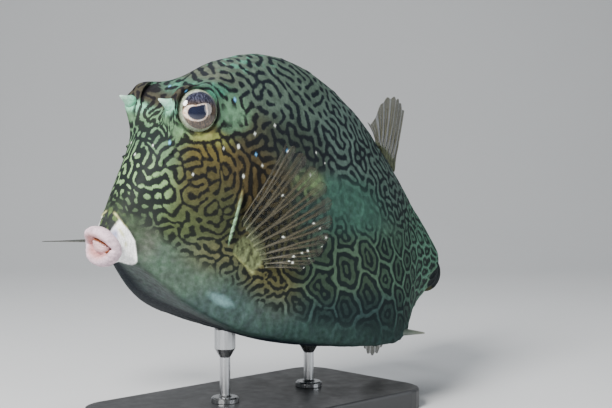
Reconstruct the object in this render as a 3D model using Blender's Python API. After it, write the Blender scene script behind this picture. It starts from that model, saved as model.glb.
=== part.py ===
"""Honeycomb cowfish as a life-size display model on a stand.

The fish is shaped in its own frame, in millimetres: x runs from the lips back to the tail, y to the
fish's right and z up from the level of the belly. One empty then sets it into the room, nose up and
banked a little as the live fish swims, over a flat base with two rods. The names left and right are
the fish's own.
"""

import math

import bmesh
import bpy
import numpy as np
from mathutils import Matrix, Vector

# Sizes of the whole, in millimetres and degrees
MM = 0.001
GAP = 0.3
NOSE_UP = 4.3
BANK = 4.2
BELLY_CLEARANCE = 34.0
BALANCE = Vector((128.0, 0.0, -6.0))

# Stations of the body from the snout rim to the rim round the tail stalk. Each lists the back's midline
# (x, z), the keel (x, y, z), the belly's midline (x, z), the half width of the rounded back, and how far
# up the side the wall stays steep, as a share of its height.
STATIONS = (
    ((10, 56), (11, 9.5, 43), (11, 36), 9.5, 0.30),
    ((14, 70), (21, 12.5, 41), (23, 38), 14.0, 0.34),
    ((23, 92), (34, 20.5, 31), (38, 30), 21.0, 0.36),
    ((33, 113), (50, 28.0, 19), (54, 18), 28.0, 0.38),
    ((46, 128), (67, 36.0, 10), (72, 9), 32.0, 0.38),
    ((65, 146), (85, 42.0, 4), (89, 2), 27.0, 0.38),
    ((89, 155), (104, 47.0, 2), (108, -3), 26.0, 0.40),
    ((114, 158), (127, 51.0, 0), (131, -6), 25.0, 0.40),
    ((142, 153), (152, 54.0, -2), (154, -7), 24.0, 0.38),
    ((172, 140), (177, 54.0, -3), (178, -5), 22.0, 0.36),
    ((199, 122), (195, 51.0, -2), (199, 0), 19.0, 0.36),
    ((223, 102), (207, 46.0, 2), (217, 7), 16.0, 0.36),
    ((244, 82), (220, 37.0, 11), (232, 15), 14.0, 0.36),
    ((263, 65), (242, 25.0, 20), (250, 22), 12.0, 0.34),
    ((278, 51), (270, 13.0, 27), (270, 24), 9.0, 0.32),
)
RIM_STATION = len(STATIONS) - 1
KEEL_ROUND = 5.0
STATION_STEP = 0.05
ROW_STEPS = 10

# Rows round the body, on each side: from the back's midline to the keel, then to the belly's midline
SIDE_ROWS = 8
BELLY_ROWS = 3
HALF_ROWS = SIDE_ROWS + BELLY_ROWS
ROWS = 2 * HALF_ROWS

# The head ends behind the gill opening: the station of that line high and low on the side, and the rows
# between which it moves forward
NECK_HIGH = 5.22
NECK_LOW = 4.40
NECK_ROWS = (3.4, 5.6)

# The bony plates of the shell
PLATE_COLUMNS = 13
PLATE_INSET = 0.80
PLATE_RISE = 0.6
PLATE_CROWN = 0.9
BARE_EDGE = 0.006
RING_POINTS = 4 * ROWS

# Head
HEAD_RINGS = 15
EYE_CENTRE = Vector((47.2, 19.8, 121.0))
EYE_RADII = Vector((11.5, 7.5, 11.5))
EYE_FORWARD = 16.0
EYE_UP = 6.0
EYE_ROUND = 24
EYE_RINGS = 12
# Swellings of the head: centre, radii, direction and height
ORBIT = ((45.7, 21, 121.2), (19, 15, 18), (-0.1, 1.0, 0.1), 5.0)
BROW = ((42, 19, 122), (15, 10, 13), (-0.45, 0.15, 1.0), 13.0)
MOUND_OF_HORN = ((36, 20, 117), (9, 8, 10), (-0.7, 0.1, 0.7), 8.0)
FOOT_OF_HORN = ((32, 18.5, 119), (6, 5, 5.5), (-0.5, 0.35, 0.6), 1.8)
BROW_FRONT = ((36, 18, 128), (8, 8, 6), (-0.6, 0.0, 0.8), 2.5)
BROW_TAIL = ((62, 19, 134), (14, 9, 12), (0.0, 0.25, 1.0), 4.0)
CHEEK = ((62, 34, 52), (26, 18, 26), (-0.1, 1.0, -0.1), 2.5)
SWELLINGS = (ORBIT, BROW, BROW_FRONT, MOUND_OF_HORN, FOOT_OF_HORN, BROW_TAIL, CHEEK)
ORBIT_LEVEL = 1.5
ORBIT_BLEND = 4.5
ORBIT_RIM_HEIGHT = 1.3
ORBIT_RIM_WIDTH = 1.6
HORN_BASE = Vector((31.0, 17.0, 122.6))
HORN_TIP = Vector((23.8, 16.5, 124.8))
HORN_RADIUS = 2.2
HORN_SINK = 1.6
HORN_WIDTHS = ((0, 1.7), (0.3, 1.3), (0.55, 0.85), (0.8, 0.5), (1, 0.16))
NOSTRILS = ((33.5, 98.0), (30.0, 92.5))
NOSTRIL_RADIUS = 1.2
GILL_ROWS = (3.95, 5.35)
GILL_AHEAD = 0.13
GILL_HALF_WIDTH = 0.9
GILL_DEPTH = 3.2
MOUND = 3.0

# Mouth
LIP_CENTRE = Vector((6.8, 0.0, 46.0))
LIP_HALF_WIDTH = 9.2
LIP_HALF_HEIGHT = 6.3
LIP_TUBE = 4.3
LIP_CORNER_TUBE = 3.9
LIP_CORNER_BACK = 2.6
LIP_LEAN = 0.12
LIP_ROUND = 26
LIP_TURNS = 10
TEETH = 5
TOOTH_RADIUS = 0.8
TOOTH_LENGTH = 4.0
TOOTH_SPREAD = 4.8
TOOTH_ROWS = (2.3, -2.5)

# Tail stalk and tail fin, bent towards the fish's right
STALK_START = Vector((270.5, 0.0, 34.5))
STALK_LENGTH = 31.0
STALK_BEND = 74.0
STALK_DROOP = 8.0
STALK_HALF_WIDTH = (8.5, 4.6)
STALK_HALF_HEIGHT = (10.5, 9.0)
STALK_ROUND = 20
STALK_RINGS = 7
TAIL_RAYS = 10
TAIL_LENGTH = 56.0
TAIL_SPREAD = 31.0
TAIL_CURL = 12.0

# Fins: half thickness of a ray and of the web, at the root and at the edge
RAY_HALF_THICK = (1.0, 0.42)
WEB_HALF_THICK = (0.55, 0.27)
FIN_STEPS = 5
FIN_SINK = 4.0
PECTORAL_SINK = 8.0
PECTORAL_PAD = 3.8

# Keel spines
SPINE_BASE = Vector((203.0, 45.5, 3.6))
SPINE_TIP = Vector((225.0, 44.5, 2.0))
SPINE_RADIUS = 3.4

# Stand
BASE_SIZE = (190.0, 104.0, 12.0)
BASE_CORNER = 18.0
BASE_BEVEL = 1.6
ROD_PLACES = (102.0, 170.0)
ROD_RADIUS = 3.0
FLANGE = (8.0, 3.0)
CUP = (6.0, 8.0)
ROD_SIDES = 16

COLOURS = {
    "skin": ((0.30, 0.31, 0.16), 0.42, 0.0),
    "shell": ((0.22, 0.27, 0.18), 0.42, 0.0),
    "lips": ((0.62, 0.50, 0.50), 0.38, 0.0),
    "fin": ((0.24, 0.21, 0.13), 0.40, 0.0),
    "horn": ((0.50, 0.55, 0.34), 0.40, 0.0),
    "eye": ((0.05, 0.06, 0.09), 0.08, 0.0),
    "base": ((0.05, 0.05, 0.055), 0.45, 0.0),
    "rod": ((0.55, 0.56, 0.58), 0.30, 1.0),
}


def clear_scene():
    for obj in list(bpy.data.objects):
        bpy.data.objects.remove(obj)


def smoothstep(x):
    x = np.clip(x, 0, 1)
    return x * x * (3 - 2 * x)


# The body's surface

def catmull(values, at):
    """Reads a smooth curve through the rows of values at the places at, counted in rows."""
    rows = np.asarray(values, float)
    at = np.clip(np.asarray(at, float), 0, len(rows) - 1 - 1e-9)
    i = at.astype(int)
    f = (at - i).reshape(at.shape + (1,) * (rows.ndim - 1))
    ends = np.concatenate([2 * rows[:1] - rows[1:2], rows, 2 * rows[-1:] - rows[-2:-1]])
    a, b, c, d = ends[i], ends[i + 1], ends[i + 2], ends[i + 3]
    line = 2 * b + (c - a) * f
    return 0.5 * (line + (2 * a - 5 * b + 4 * c - d) * f**2 + (3 * b - a - 3 * c + d) * f**3)


def bezier(points, count):
    t = np.linspace(0, 1, count)[:, None]
    a, b, c, d = (np.asarray(p, float) for p in points)
    return (1 - t) ** 3 * a + 3 * (1 - t) ** 2 * t * b + 3 * (1 - t) * t**2 * c + t**3 * d


def read_line(line, lengths, at):
    return np.stack([np.interp(at, lengths, line[:, k]) for k in range(3)], 1)


def rounded(line, width):
    """Rounds a half section's corners by averaging it over a width, mirrored at both midlines."""
    mirror = line * [1, -1, 1]
    whole = np.concatenate([mirror[:0:-1], line, mirror[-2::-1]])
    kernel = np.ones(width) / width
    for _ in range(2):
        whole = np.stack([np.convolve(whole[:, k], kernel, "same") for k in range(3)], 1)
    half = whole[len(line) - 1 : 2 * len(line) - 1]
    half[0, 1] = half[-1, 1] = 0
    return half


def half_section(values):
    """One half section on the fish's right, from the back past the keel to the belly's midline."""
    back_x, back_z, keel_x, keel_y, keel_z, belly_x, belly_z, crown, steep = values
    back = np.array([back_x, 0, back_z])
    keel = np.array([keel_x, keel_y, keel_z])
    belly = np.array([belly_x, 0, belly_z])
    lean = (back - keel) * [1, 0, 1] * steep
    side = bezier((back, back + [0, crown, 0], keel + lean, keel), 161)
    inward = [0, -0.35 * keel_y, 0.9 * (belly_z - keel_z)]
    under = bezier((keel, keel + inward, belly + [0, 0.45 * keel_y, 0], belly), 81)
    line = np.concatenate([side, under[1:]])
    lengths = np.r_[0, np.cumsum(np.linalg.norm(np.diff(line, axis=0), axis=1))]
    keel_length, whole = lengths[160], lengths[-1]
    even = np.linspace(0, whole, 401)
    width = max(1, round(min(KEEL_ROUND, 0.1 * whole) / (whole / 400)))
    fine = rounded(read_line(line, lengths, even), width)
    side_at = np.linspace(0, keel_length, SIDE_ROWS * ROW_STEPS + 1)
    under_at = np.linspace(keel_length, whole, BELLY_ROWS * ROW_STEPS + 1)[1:]
    return read_line(fine, even, np.r_[side_at, under_at])


def swell(points, swelling):
    """Pushes the right half's points near a centre outwards, and none on the midline."""
    centre, radii, direction, height = swelling
    near = np.exp(-(((points - centre) / radii) ** 2).sum(-1))
    near *= 1 - np.exp(-((points[..., 1] / 5) ** 2))
    push = np.array(direction) / np.linalg.norm(direction) * height
    return points + near[..., None] * push


def eye_axes(side):
    """The turn of an eye: its own y axis points out of the head, forward and up a little."""
    turn = Matrix.Rotation(math.radians(EYE_FORWARD), 3, "Z")
    turn = turn @ Matrix.Rotation(math.radians(EYE_UP), 3, "X")
    if side > 0:
        return turn
    flip = Matrix.Diagonal((1, -1, 1))
    return flip @ turn @ flip


def open_orbit(points):
    """Levels the skin over the eye, so that the eye shows whole, and raises a ring round it."""
    axis = np.array(eye_axes(1))[:, 1]
    away = points - np.array(EYE_CENTRE)
    out = away @ axis
    across = np.linalg.norm(away - out[..., None] * axis, axis=-1)
    level = (1 - smoothstep((across - EYE_RADII.x + 0.5) / ORBIT_BLEND)) * smoothstep((out + 9) / 4)
    ring = np.exp(-(((across - EYE_RADII.x - 1.0) / ORBIT_RIM_WIDTH) ** 2)) * smoothstep((out + 9) / 4)
    push = level * (ORBIT_LEVEL - out) + ORBIT_RIM_HEIGHT * ring
    return points + push[..., None] * axis


def body_table():
    """The whole body as a closed table of points: station, then row from the back round the right."""
    stations = np.array([(*b, *k, *v, crown, steep) for b, k, v, crown, steep in STATIONS], float)
    places = np.arange(0, RIM_STATION + STATION_STEP / 2, STATION_STEP)
    right = np.array([half_section(v) for v in catmull(stations, places)])
    for swelling in SWELLINGS:
        right = swell(right, swelling)
    right = open_orbit(right)
    left = right[:, -2:0:-1] * [1, -1, 1]
    return np.concatenate([right, left], 1)


def table_normals(table):
    along = np.gradient(table, axis=0)
    round_ = np.roll(table, -1, 1) - np.roll(table, 1, 1)
    normal = np.cross(round_, along)
    return normal / np.linalg.norm(normal, axis=-1)[..., None]


BODY = body_table()
BODY_NORMALS = table_normals(BODY)


def read_table(table, station, row):
    station, row = np.broadcast_arrays(np.asarray(station, float), np.asarray(row, float))
    u = np.clip(station / STATION_STEP, 0, len(table) - 1 - 1e-6)
    q = (row % ROWS) * ROW_STEPS
    i, j = u.astype(int), q.astype(int) % table.shape[1]
    f, g = (u - i)[..., None], (q - np.floor(q))[..., None]
    k = (j + 1) % table.shape[1]
    near = table[i, j] * (1 - g) + table[i, k] * g
    far = table[i + 1, j] * (1 - g) + table[i + 1, k] * g
    return near * (1 - f) + far * f


def skin_point(station, row, lift=0.0):
    """A point on the body, or lifted off it. Row 0 is the back, and rows count round by the right."""
    point = read_table(BODY, station, row)
    normal = read_table(BODY_NORMALS, station, row)
    normal = normal / np.linalg.norm(normal, axis=-1)[..., None]
    return point + normal * np.asarray(lift, float)[..., None]


def neck_station(row):
    """The station at which the head meets the shell, at each row."""
    q = HALF_ROWS - np.abs(HALF_ROWS - np.asarray(row, float) % ROWS)
    low, high = NECK_ROWS
    return NECK_HIGH + (NECK_LOW - NECK_HIGH) * smoothstep((q - low) / (high - low))


def side_point(x, z):
    """The point of the fish's right side at this x and z."""
    right = BODY[:, : SIDE_ROWS * ROW_STEPS]
    gap = np.hypot(right[..., 0] - x, right[..., 2] - z)
    return Vector(right[np.unravel_index(gap.argmin(), gap.shape)])


# Meshes, objects and materials

def material(name):
    found = bpy.data.materials.get(name)
    if found:
        return found
    colour, roughness, metallic = COLOURS[name]
    found = bpy.data.materials.new(name)
    found.use_nodes = True
    shader = found.node_tree.nodes["Principled BSDF"]
    shader.inputs["Base Color"].default_value = (*colour, 1)
    shader.inputs["Roughness"].default_value = roughness
    shader.inputs["Metallic"].default_value = metallic
    return found


def add_object(name, points, faces, kind, parent=None, sharp=40.0):
    """A named object from points in millimetres and faces, which are split into triangles.

    Every copy of a shape is split alike, so that the gap between two pieces stays the same.
    """
    mesh = bpy.data.meshes.new(name)
    mesh.from_pydata([Vector(p) * MM for p in points], [], faces)
    bm = bmesh.new()
    bm.from_mesh(mesh)
    bmesh.ops.recalc_face_normals(bm, faces=bm.faces)
    bmesh.ops.triangulate(bm, faces=bm.faces, quad_method="SHORT_EDGE")
    bm.to_mesh(mesh)
    bm.free()
    mesh.shade_smooth()
    mesh.set_sharp_from_angle(angle=math.radians(sharp))
    mesh.materials.append(material(kind))
    obj = bpy.data.objects.new(name, mesh)
    bpy.context.scene.collection.objects.link(obj)
    obj.parent = parent
    return obj


def make_guide(obj):
    """Turns an object into a cutter, which isn't part of the model."""
    obj.hide_render = True
    obj.display_type = "WIRE"
    return obj


def inflated(host, by=GAP):
    """A cutter of the host's shape, larger by the gap that touching pieces keep."""
    cutter = host.copy()
    cutter.data = host.data.copy()
    cutter.name = host.name + "_clearance"
    bpy.context.scene.collection.objects.link(cutter)
    bm = bmesh.new()
    bm.from_mesh(cutter.data)
    bm.normal_update()
    moved = [v.co + v.normal * (by * MM * min(v.calc_shell_factor(), 1.6)) for v in bm.verts]
    for v, place in zip(bm.verts, moved):
        v.co = place
    bm.to_mesh(cutter.data)
    bm.free()
    return make_guide(cutter)


def keep_largest(mesh):
    """Keeps a mesh's largest closed surface and drops scraps left by a cut or a union."""
    bm = bmesh.new()
    bm.from_mesh(mesh)
    bmesh.ops.remove_doubles(bm, verts=bm.verts, dist=0.001 * MM)
    seen, groups = set(), []
    for start in bm.verts:
        if start in seen:
            continue
        group, queue = [], [start]
        seen.add(start)
        while queue:
            v = queue.pop()
            group.append(v)
            for e in v.link_edges:
                other = e.other_vert(v)
                if other not in seen:
                    seen.add(other)
                    queue.append(other)
        groups.append(group)
    groups.sort(key=len, reverse=True)
    for group in groups[1:]:
        bmesh.ops.delete(bm, geom=group, context="VERTS")
    bmesh.ops.dissolve_degenerate(bm, dist=0.001 * MM, edges=bm.edges)
    bmesh.ops.delete(bm, geom=[e for e in bm.edges if not e.link_faces], context="EDGES")
    bmesh.ops.triangulate(bm, faces=bm.faces)
    bm.to_mesh(mesh)
    bm.free()


def apply_boolean(obj, operation, cutters):
    """Cuts the cutters from an object, or joins them to it, in one step, and removes them."""
    group = bpy.data.collections.new(obj.name + "_" + operation.lower())
    bpy.context.scene.collection.children.link(group)
    for cutter in cutters:
        bpy.context.scene.collection.objects.unlink(cutter)
        group.objects.link(cutter)
    modifier = obj.modifiers.new("Boolean", "BOOLEAN")
    modifier.operation = operation
    modifier.operand_type = "COLLECTION"
    modifier.collection = group
    modifier.solver = "EXACT"
    bpy.context.view_layer.update()
    shape = bpy.data.meshes.new_from_object(obj.evaluated_get(bpy.context.evaluated_depsgraph_get()))
    obj.modifiers.clear()
    old, obj.data = obj.data, shape
    shape.name = obj.name
    bpy.data.meshes.remove(old)
    for cutter in cutters:
        bpy.data.objects.remove(cutter)
    bpy.data.collections.remove(group)
    keep_largest(shape)
    shape.set_sharp_from_angle(angle=math.radians(40))


def fit_against(piece, *hosts):
    """Cuts the hosts' room, one by one, from a piece whose root is sunk in them."""
    for host in hosts:
        apply_boolean(piece, "DIFFERENCE", [inflated(host)])


def ring_faces(first, second, count):
    """Quads between two rings of points given by their first indices."""
    after = [(k + 1) % count for k in range(count)]
    return [(first + k, first + j, second + j, second + k) for k, j in enumerate(after)]


def fan(ring, count, centre):
    return [(ring + k, ring + (k + 1) % count, centre) for k in range(count)]


def loft(rings, caps=True):
    """A closed tube through rings of equally many points, closed by a point at each end."""
    rings = [np.asarray(r, float) for r in rings]
    count = len(rings[0])
    points = np.concatenate(rings)
    faces = []
    for i in range(len(rings) - 1):
        faces += ring_faces(i * count, (i + 1) * count, count)
    if caps:
        ends = np.array([rings[0].mean(0), rings[-1].mean(0)])
        points = np.concatenate([points, ends])
        faces += fan(0, count, len(points) - 2)
        faces += fan((len(rings) - 1) * count, count, len(points) - 1)
    return points, faces


def mirrored(points):
    return np.asarray(points) * [1, -1, 1]


# Head

def neck_ring(shift):
    rows = np.arange(RING_POINTS) * ROWS / RING_POINTS
    return skin_point(neck_station(rows), rows, PLATE_RISE) + [shift, 0, 0]


def head_shape():
    """Rings from the snout rim back to the neck, with a low mound inside the mouth."""
    rows = np.arange(RING_POINTS) * ROWS / RING_POINTS
    share = np.linspace(0, 1, HEAD_RINGS)
    rings = [skin_point(s * neck_station(rows), rows, PLATE_RISE * smoothstep(4 * s)) for s in share]
    rings[-1] = neck_ring(-GAP)
    rim = rings[0]
    middle = rim.mean(0)
    mound = [middle + (rim - middle) * 0.78 - [0.2, 0, 0], middle + (rim - middle) * 0.45 - [MOUND, 0, 0]]
    return loft(mound[::-1] + rings)


def eye_shape(side, larger=0.0):
    """A flattened ball whose poles lie on the eye's own axis."""
    radii = [r + larger for r in EYE_RADII]
    rings = []
    for k in range(1, EYE_RINGS):
        polar = math.pi * k / EYE_RINGS
        turn = np.arange(EYE_ROUND) * 2 * math.pi / EYE_ROUND
        x = radii[0] * math.sin(polar) * np.cos(turn)
        z = radii[2] * math.sin(polar) * np.sin(turn)
        rings.append(np.stack([x, np.full_like(x, radii[1] * math.cos(polar)), z], 1))
    points, faces = loft(rings)
    points[-2:] = [(0, radii[1], 0), (0, -radii[1], 0)]
    axes = np.array(eye_axes(side))
    centre = np.array(EYE_CENTRE) * [1, side, 1]
    return (points * [1, side, 1]) @ axes.T + centre, faces


def gill_cutter(side):
    """A thin curved blade for the gill opening, following the neck just ahead of it."""
    rings = []
    for row, taper in zip(np.linspace(*GILL_ROWS, 9), (0.25, 0.6, 0.85, 1, 1, 1, 0.85, 0.6, 0.25)):
        station = neck_station(row) - GILL_AHEAD
        ahead = skin_point(station - 0.02, row) - skin_point(station + 0.02, row)
        ahead = ahead / np.linalg.norm(ahead) * GILL_HALF_WIDTH * taper
        deep, high = skin_point(station, row, -GILL_DEPTH * taper), skin_point(station, row, 3.0)
        rings.append(np.array([deep - ahead, deep + ahead, high + ahead, high - ahead]))
    points, faces = loft(rings)
    return points if side > 0 else mirrored(points), faces


def ball(centre, radius, sides=10, rings=6):
    circles = []
    for k in range(1, rings):
        polar = math.pi * k / rings
        turn = np.arange(sides) * 2 * math.pi / sides
        width = radius * math.sin(polar)
        circle = [width * np.cos(turn), width * np.sin(turn), np.full(sides, radius * math.cos(polar))]
        circles.append(np.stack(circle, 1))
    points, faces = loft(circles)
    points[-2:] = [(0, 0, radius), (0, 0, -radius)]
    return points + np.array(centre), faces


def cone(base, tip, radius, sides=12, widths=((0, 1.0), (0.35, 0.72), (0.7, 0.36), (1, 0.08)), flat=1.0):
    """A tapering round spike, whose height across may be less than its width."""
    base, tip = Vector(base), Vector(tip)
    along = (tip - base).normalized()
    across = along.cross(Vector((0, 0, 1))).normalized()
    up = across.cross(along)
    rings = []
    for share, width in widths:
        middle = base.lerp(tip, share)
        turns = [2 * math.pi * k / sides for k in range(sides)]
        reach = radius * width
        tall = reach * flat
        rings.append([middle + across * (reach * math.cos(t)) + up * (tall * math.sin(t)) for t in turns])
    return loft(rings)


def tooth_shapes(larger=0.0):
    """Two rows of blunt teeth on the mound inside the mouth."""
    shapes = []
    root_x = STATIONS[0][0][0] - 0.5
    for height in TOOTH_ROWS:
        for y in np.linspace(-TOOTH_SPREAD, TOOTH_SPREAD, TEETH):
            root = Vector((root_x, y, LIP_CENTRE.z + height))
            tip = root + Vector((-TOOTH_LENGTH - larger + 0.05 * y * y, 0, -0.25 * height))
            shapes.append(cone(root, tip, TOOTH_RADIUS + larger, 6, ((0, 1.0), (0.8, 0.8), (1, 0.35))))
    return shapes


def build_head(parent):
    """The head, and a guide of its form without teeth and openings, which other pieces fit."""
    head = add_object("head", *head_shape(), "skin", parent)
    form = inflated(head, 0)
    teeth = [add_object("tooth", *shape, "skin", parent) for shape in tooth_shapes()]
    apply_boolean(head, "UNION", teeth)
    cutters = []
    for side in (1, -1):
        cutters.append(add_object("socket", *eye_shape(side, GAP * 1.3), "eye", parent))
        cutters.append(add_object("gill", *gill_cutter(side), "skin", parent))
        for x, z in NOSTRILS:
            place = side_point(x, z)
            place.y *= side
            cutters.append(add_object("nostril", *ball(place, NOSTRIL_RADIUS), "skin", parent))
    apply_boolean(head, "DIFFERENCE", cutters)
    return form


def build_eyes(parent):
    sides = (("eye_right", 1), ("eye_left", -1))
    return [add_object(name, *eye_shape(side), "eye", parent) for name, side in sides]


def build_horns(head_form, eyes, parent):
    """The short horns over the eyes, which point forward."""
    inward = (HORN_BASE - HORN_TIP).normalized() * HORN_SINK
    for name, side, eye in (("horn_right", 1, eyes[0]), ("horn_left", -1, eyes[1])):
        points, faces = cone(HORN_BASE + inward, HORN_TIP, HORN_RADIUS, widths=HORN_WIDTHS)
        horn = add_object(name, points if side > 0 else mirrored(points), faces, "horn", parent)
        fit_against(horn, head_form, eye)


def build_lips(head_form, parent):
    """A thick ring of lip that thins at the corners of the mouth and leans back below."""
    rings = []
    for turn in np.arange(LIP_ROUND) * 2 * math.pi / LIP_ROUND:
        out = Vector((0, math.cos(turn), math.sin(turn)))
        corner = abs(math.cos(turn)) ** 3
        tube = LIP_TUBE + (LIP_CORNER_TUBE - LIP_TUBE) * corner
        middle = LIP_CENTRE + Vector((0, LIP_HALF_WIDTH * out.y, LIP_HALF_HEIGHT * out.z))
        middle.x += LIP_CORNER_BACK * corner - LIP_LEAN * LIP_HALF_HEIGHT * out.z
        ring = []
        for k in range(LIP_TURNS):
            bend = 2 * math.pi * k / LIP_TURNS
            ring.append(middle + out * (tube * math.cos(bend)) - Vector((tube * math.sin(bend), 0, 0)))
        rings.append(ring)
    points, faces = loft(rings, caps=False)
    faces += ring_faces((LIP_ROUND - 1) * LIP_TURNS, 0, LIP_TURNS)
    lips = add_object("lips", points, faces, "lips", parent)
    room = [add_object("tooth_room", *shape, "lips", parent) for shape in tooth_shapes(1.3 * GAP)]
    apply_boolean(lips, "DIFFERENCE", [inflated(head_form), *room])


# Shell

def shell_station(share, row):
    """The station at a share of the way from the neck to the rear rim."""
    neck = neck_station(row)
    return neck + (RIM_STATION - neck) * share


def shell_shape():
    """Six-sided plates, raised and crowned between grooves, with a smooth ring at each end."""
    step = (1 - 2 * BARE_EDGE) / (PLATE_COLUMNS + 1 / 3)
    points, faces, corners = [], [], {}

    def corner(share, row):
        key = (round(share, 5), round(2 * row) % (2 * ROWS))
        if key not in corners:
            corners[key] = len(points)
            points.append(skin_point(shell_station(share, key[1] / 2), key[1] / 2))
        return corners[key]

    for column in range(PLATE_COLUMNS):
        share = BARE_EDGE + step * (column + 2 / 3)
        for k in range(ROWS):
            row = k + 0.5 * (column % 2)
            around = (2 / 3, 0), (1 / 3, 0.5), (-1 / 3, 0.5), (-2 / 3, 0), (-1 / 3, -0.5), (1 / 3, -0.5)
            outer = [corner(share + step * a, row + b) for a, b in around]
            first = len(points)
            for a, b in around:
                place = share + step * a * PLATE_INSET, row + b * PLATE_INSET
                points.append(skin_point(shell_station(*place), place[1], PLATE_RISE))
            points.append(skin_point(shell_station(share, row), row, PLATE_CROWN))
            for m in range(6):
                n = (m + 1) % 6
                faces += [(outer[m], outer[n], first + n), (outer[m], first + n, first + m)]
                faces.append((first + m, first + n, first + 6))

    def edge_index(share_high, share_low, flip):
        """The zigzag edge of the plates at one end, in order round the body."""
        places = [(share_high if (k % 2 == 0) != flip else share_low, k / 2) for k in range(2 * ROWS)]
        return [corner(*place) for place in places]

    front = edge_index(BARE_EDGE, BARE_EDGE + step / 3, False)
    last = BARE_EDGE + step * (PLATE_COLUMNS - 1 + 2 / 3)
    rear = edge_index(last + step * 2 / 3, last + step / 3, (PLATE_COLUMNS - 1) % 2 == 1)

    def close(edge, ring, inner, centre):
        """Joins the zigzag edge to a smooth ring, then to an inner ring and a centre point."""
        start = len(points)
        points.extend(ring)
        points.extend(inner)
        points.append(centre)
        count, half = RING_POINTS, len(edge)
        for k in range(half):
            a, b = start + 2 * k, start + 2 * k + 1
            c = start + (2 * k + 2) % count
            after = edge[(k + 1) % half]
            faces.extend([(edge[k], a, b), (edge[k], b, after), (after, b, c)])
        faces.extend(ring_faces(start, start + count, count))
        faces.extend(fan(start + count, count, start + 2 * count))

    neck = neck_ring(0)
    middle = neck.mean(0)
    close(front, neck, middle + (neck - middle) * 0.5, middle)
    rows = np.arange(RING_POINTS) * ROWS / RING_POINTS
    rim = skin_point(RIM_STATION, rows, PLATE_RISE)
    middle = rim.mean(0)
    close(rear, rim, middle + (rim - middle) * 0.86 - [1.5, 0, 0], middle - [1.5, 0, 0])
    return points, faces


def build_shell(parent):
    return add_object("carapace", *shell_shape(), "shell", parent)


def build_keel_spines(shell, parent):
    """The spines that end the keels and point back."""
    for name, side in (("keel_spine_right", 1), ("keel_spine_left", -1)):
        points, faces = cone(SPINE_BASE - Vector((4, 0, 0)), SPINE_TIP, SPINE_RADIUS, flat=0.75)
        spine = add_object(name, points if side > 0 else mirrored(points), faces, "horn", parent)
        fit_against(spine, shell)


# Tail

def stalk_frame(length):
    """The middle line of the tail at a length from the rim: its place, direction and side."""
    bend = math.radians(STALK_BEND) / STALK_LENGTH
    inside = min(length, STALK_LENGTH)
    turn = bend * inside
    place = STALK_START + Vector((math.sin(turn), 1 - math.cos(turn), 0)) / bend
    place.z -= STALK_DROOP * float(smoothstep(inside / STALK_LENGTH))
    along = Vector((math.cos(turn), math.sin(turn), 0))
    curl = math.radians(TAIL_CURL) / TAIL_LENGTH
    beyond = length - inside
    if beyond > 0:
        turn += curl * beyond
        middle = turn - curl * beyond / 2
        place = place + Vector((math.cos(middle), math.sin(middle), 0)) * beyond
        along = Vector((math.cos(turn), math.sin(turn), 0))
    return place, along, Vector((-along.y, along.x, 0))


def build_stalk(shell, parent):
    """The soft stalk that comes out of the shell's rear rim."""
    rings = []
    for share in np.linspace(0, 1, STALK_RINGS):
        place, _, side = stalk_frame(share * STALK_LENGTH)
        wide = STALK_HALF_WIDTH[0] + (STALK_HALF_WIDTH[1] - STALK_HALF_WIDTH[0]) * smoothstep(share)
        high = STALK_HALF_HEIGHT[0] + (STALK_HALF_HEIGHT[1] - STALK_HALF_HEIGHT[0]) * smoothstep(share)
        turns = np.arange(STALK_ROUND) * 2 * math.pi / STALK_ROUND
        up = Vector((0, 0, high))
        rings.append([place + side * (wide * math.cos(t)) + up * math.sin(t) for t in turns])
    stalk = add_object("tail_stalk", *loft(rings), "skin", parent)
    fit_against(stalk, shell)
    return stalk


# Fins

def fin_shape(roots, tips, bow, pad=0.0, notch=0.04):
    """A fan of rays raised on a thin web, between rows of root points and of tip points.

    Each ray runs from a root to a tip and bows sideways by the vector bow. The root swells by pad, as
    the fleshy base of the fin does. Both faces are split into triangles alike.
    """
    roots, tips = np.asarray(roots, float), np.asarray(tips, float)
    rays = len(roots)
    columns = 2 * rays - 1
    t = np.linspace(0, 1, FIN_STEPS + 1)
    places = np.arange(columns) / 2
    start = catmull(roots, places)
    end = catmull(tips, places)
    web = np.arange(columns) % 2 == 1
    end[web] = start[web] + (end[web] - start[web]) * (1 - notch)
    line = start[:, None] + (end - start)[:, None] * t[None, :, None]
    line = line + 4 * (t * (1 - t))[None, :, None] * np.asarray(bow, float)
    normal = np.cross(np.gradient(line, axis=0), np.gradient(line, axis=1))
    normal /= np.linalg.norm(normal, axis=-1)[..., None]
    whole = normal.mean((0, 1))
    normal = whole + (normal - whole) * smoothstep(2 * t)[None, :, None]
    normal /= np.linalg.norm(normal, axis=-1)[..., None]
    thin, full = np.interp(t, (0, 1), WEB_HALF_THICK), np.interp(t, (0, 1), RAY_HALF_THICK)
    thick = np.where(web[:, None], thin, full)
    thick = thick + pad * np.exp(-((t / 0.16) ** 2))
    grid = np.arange(columns * len(t)).reshape(columns, len(t))
    points = np.concatenate([(line + normal * thick[..., None]).reshape(-1, 3),
                             (line - normal * thick[..., None]).reshape(-1, 3)])
    other = columns * len(t)
    faces = []
    for i in range(columns - 1):
        for j in range(len(t) - 1):
            a, b, c, d = grid[i, j], grid[i + 1, j], grid[i + 1, j + 1], grid[i, j + 1]
            pairs = ((a, b, c), (a, c, d)) if i % 2 == 0 else ((a, b, d), (b, c, d))
            for face in pairs:
                faces.append(tuple(int(v) for v in face))
                faces.append(tuple(int(v) + other for v in reversed(face)))
    edge = [*grid[:, 0], *grid[-1, 1:], *grid[-2::-1, -1], *grid[0, -2:0:-1]]
    for a, b in zip(edge, edge[1:] + edge[:1]):
        faces += [(int(a), int(a) + other, int(b) + other), (int(a), int(b) + other, int(b))]
    return points, faces


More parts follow.
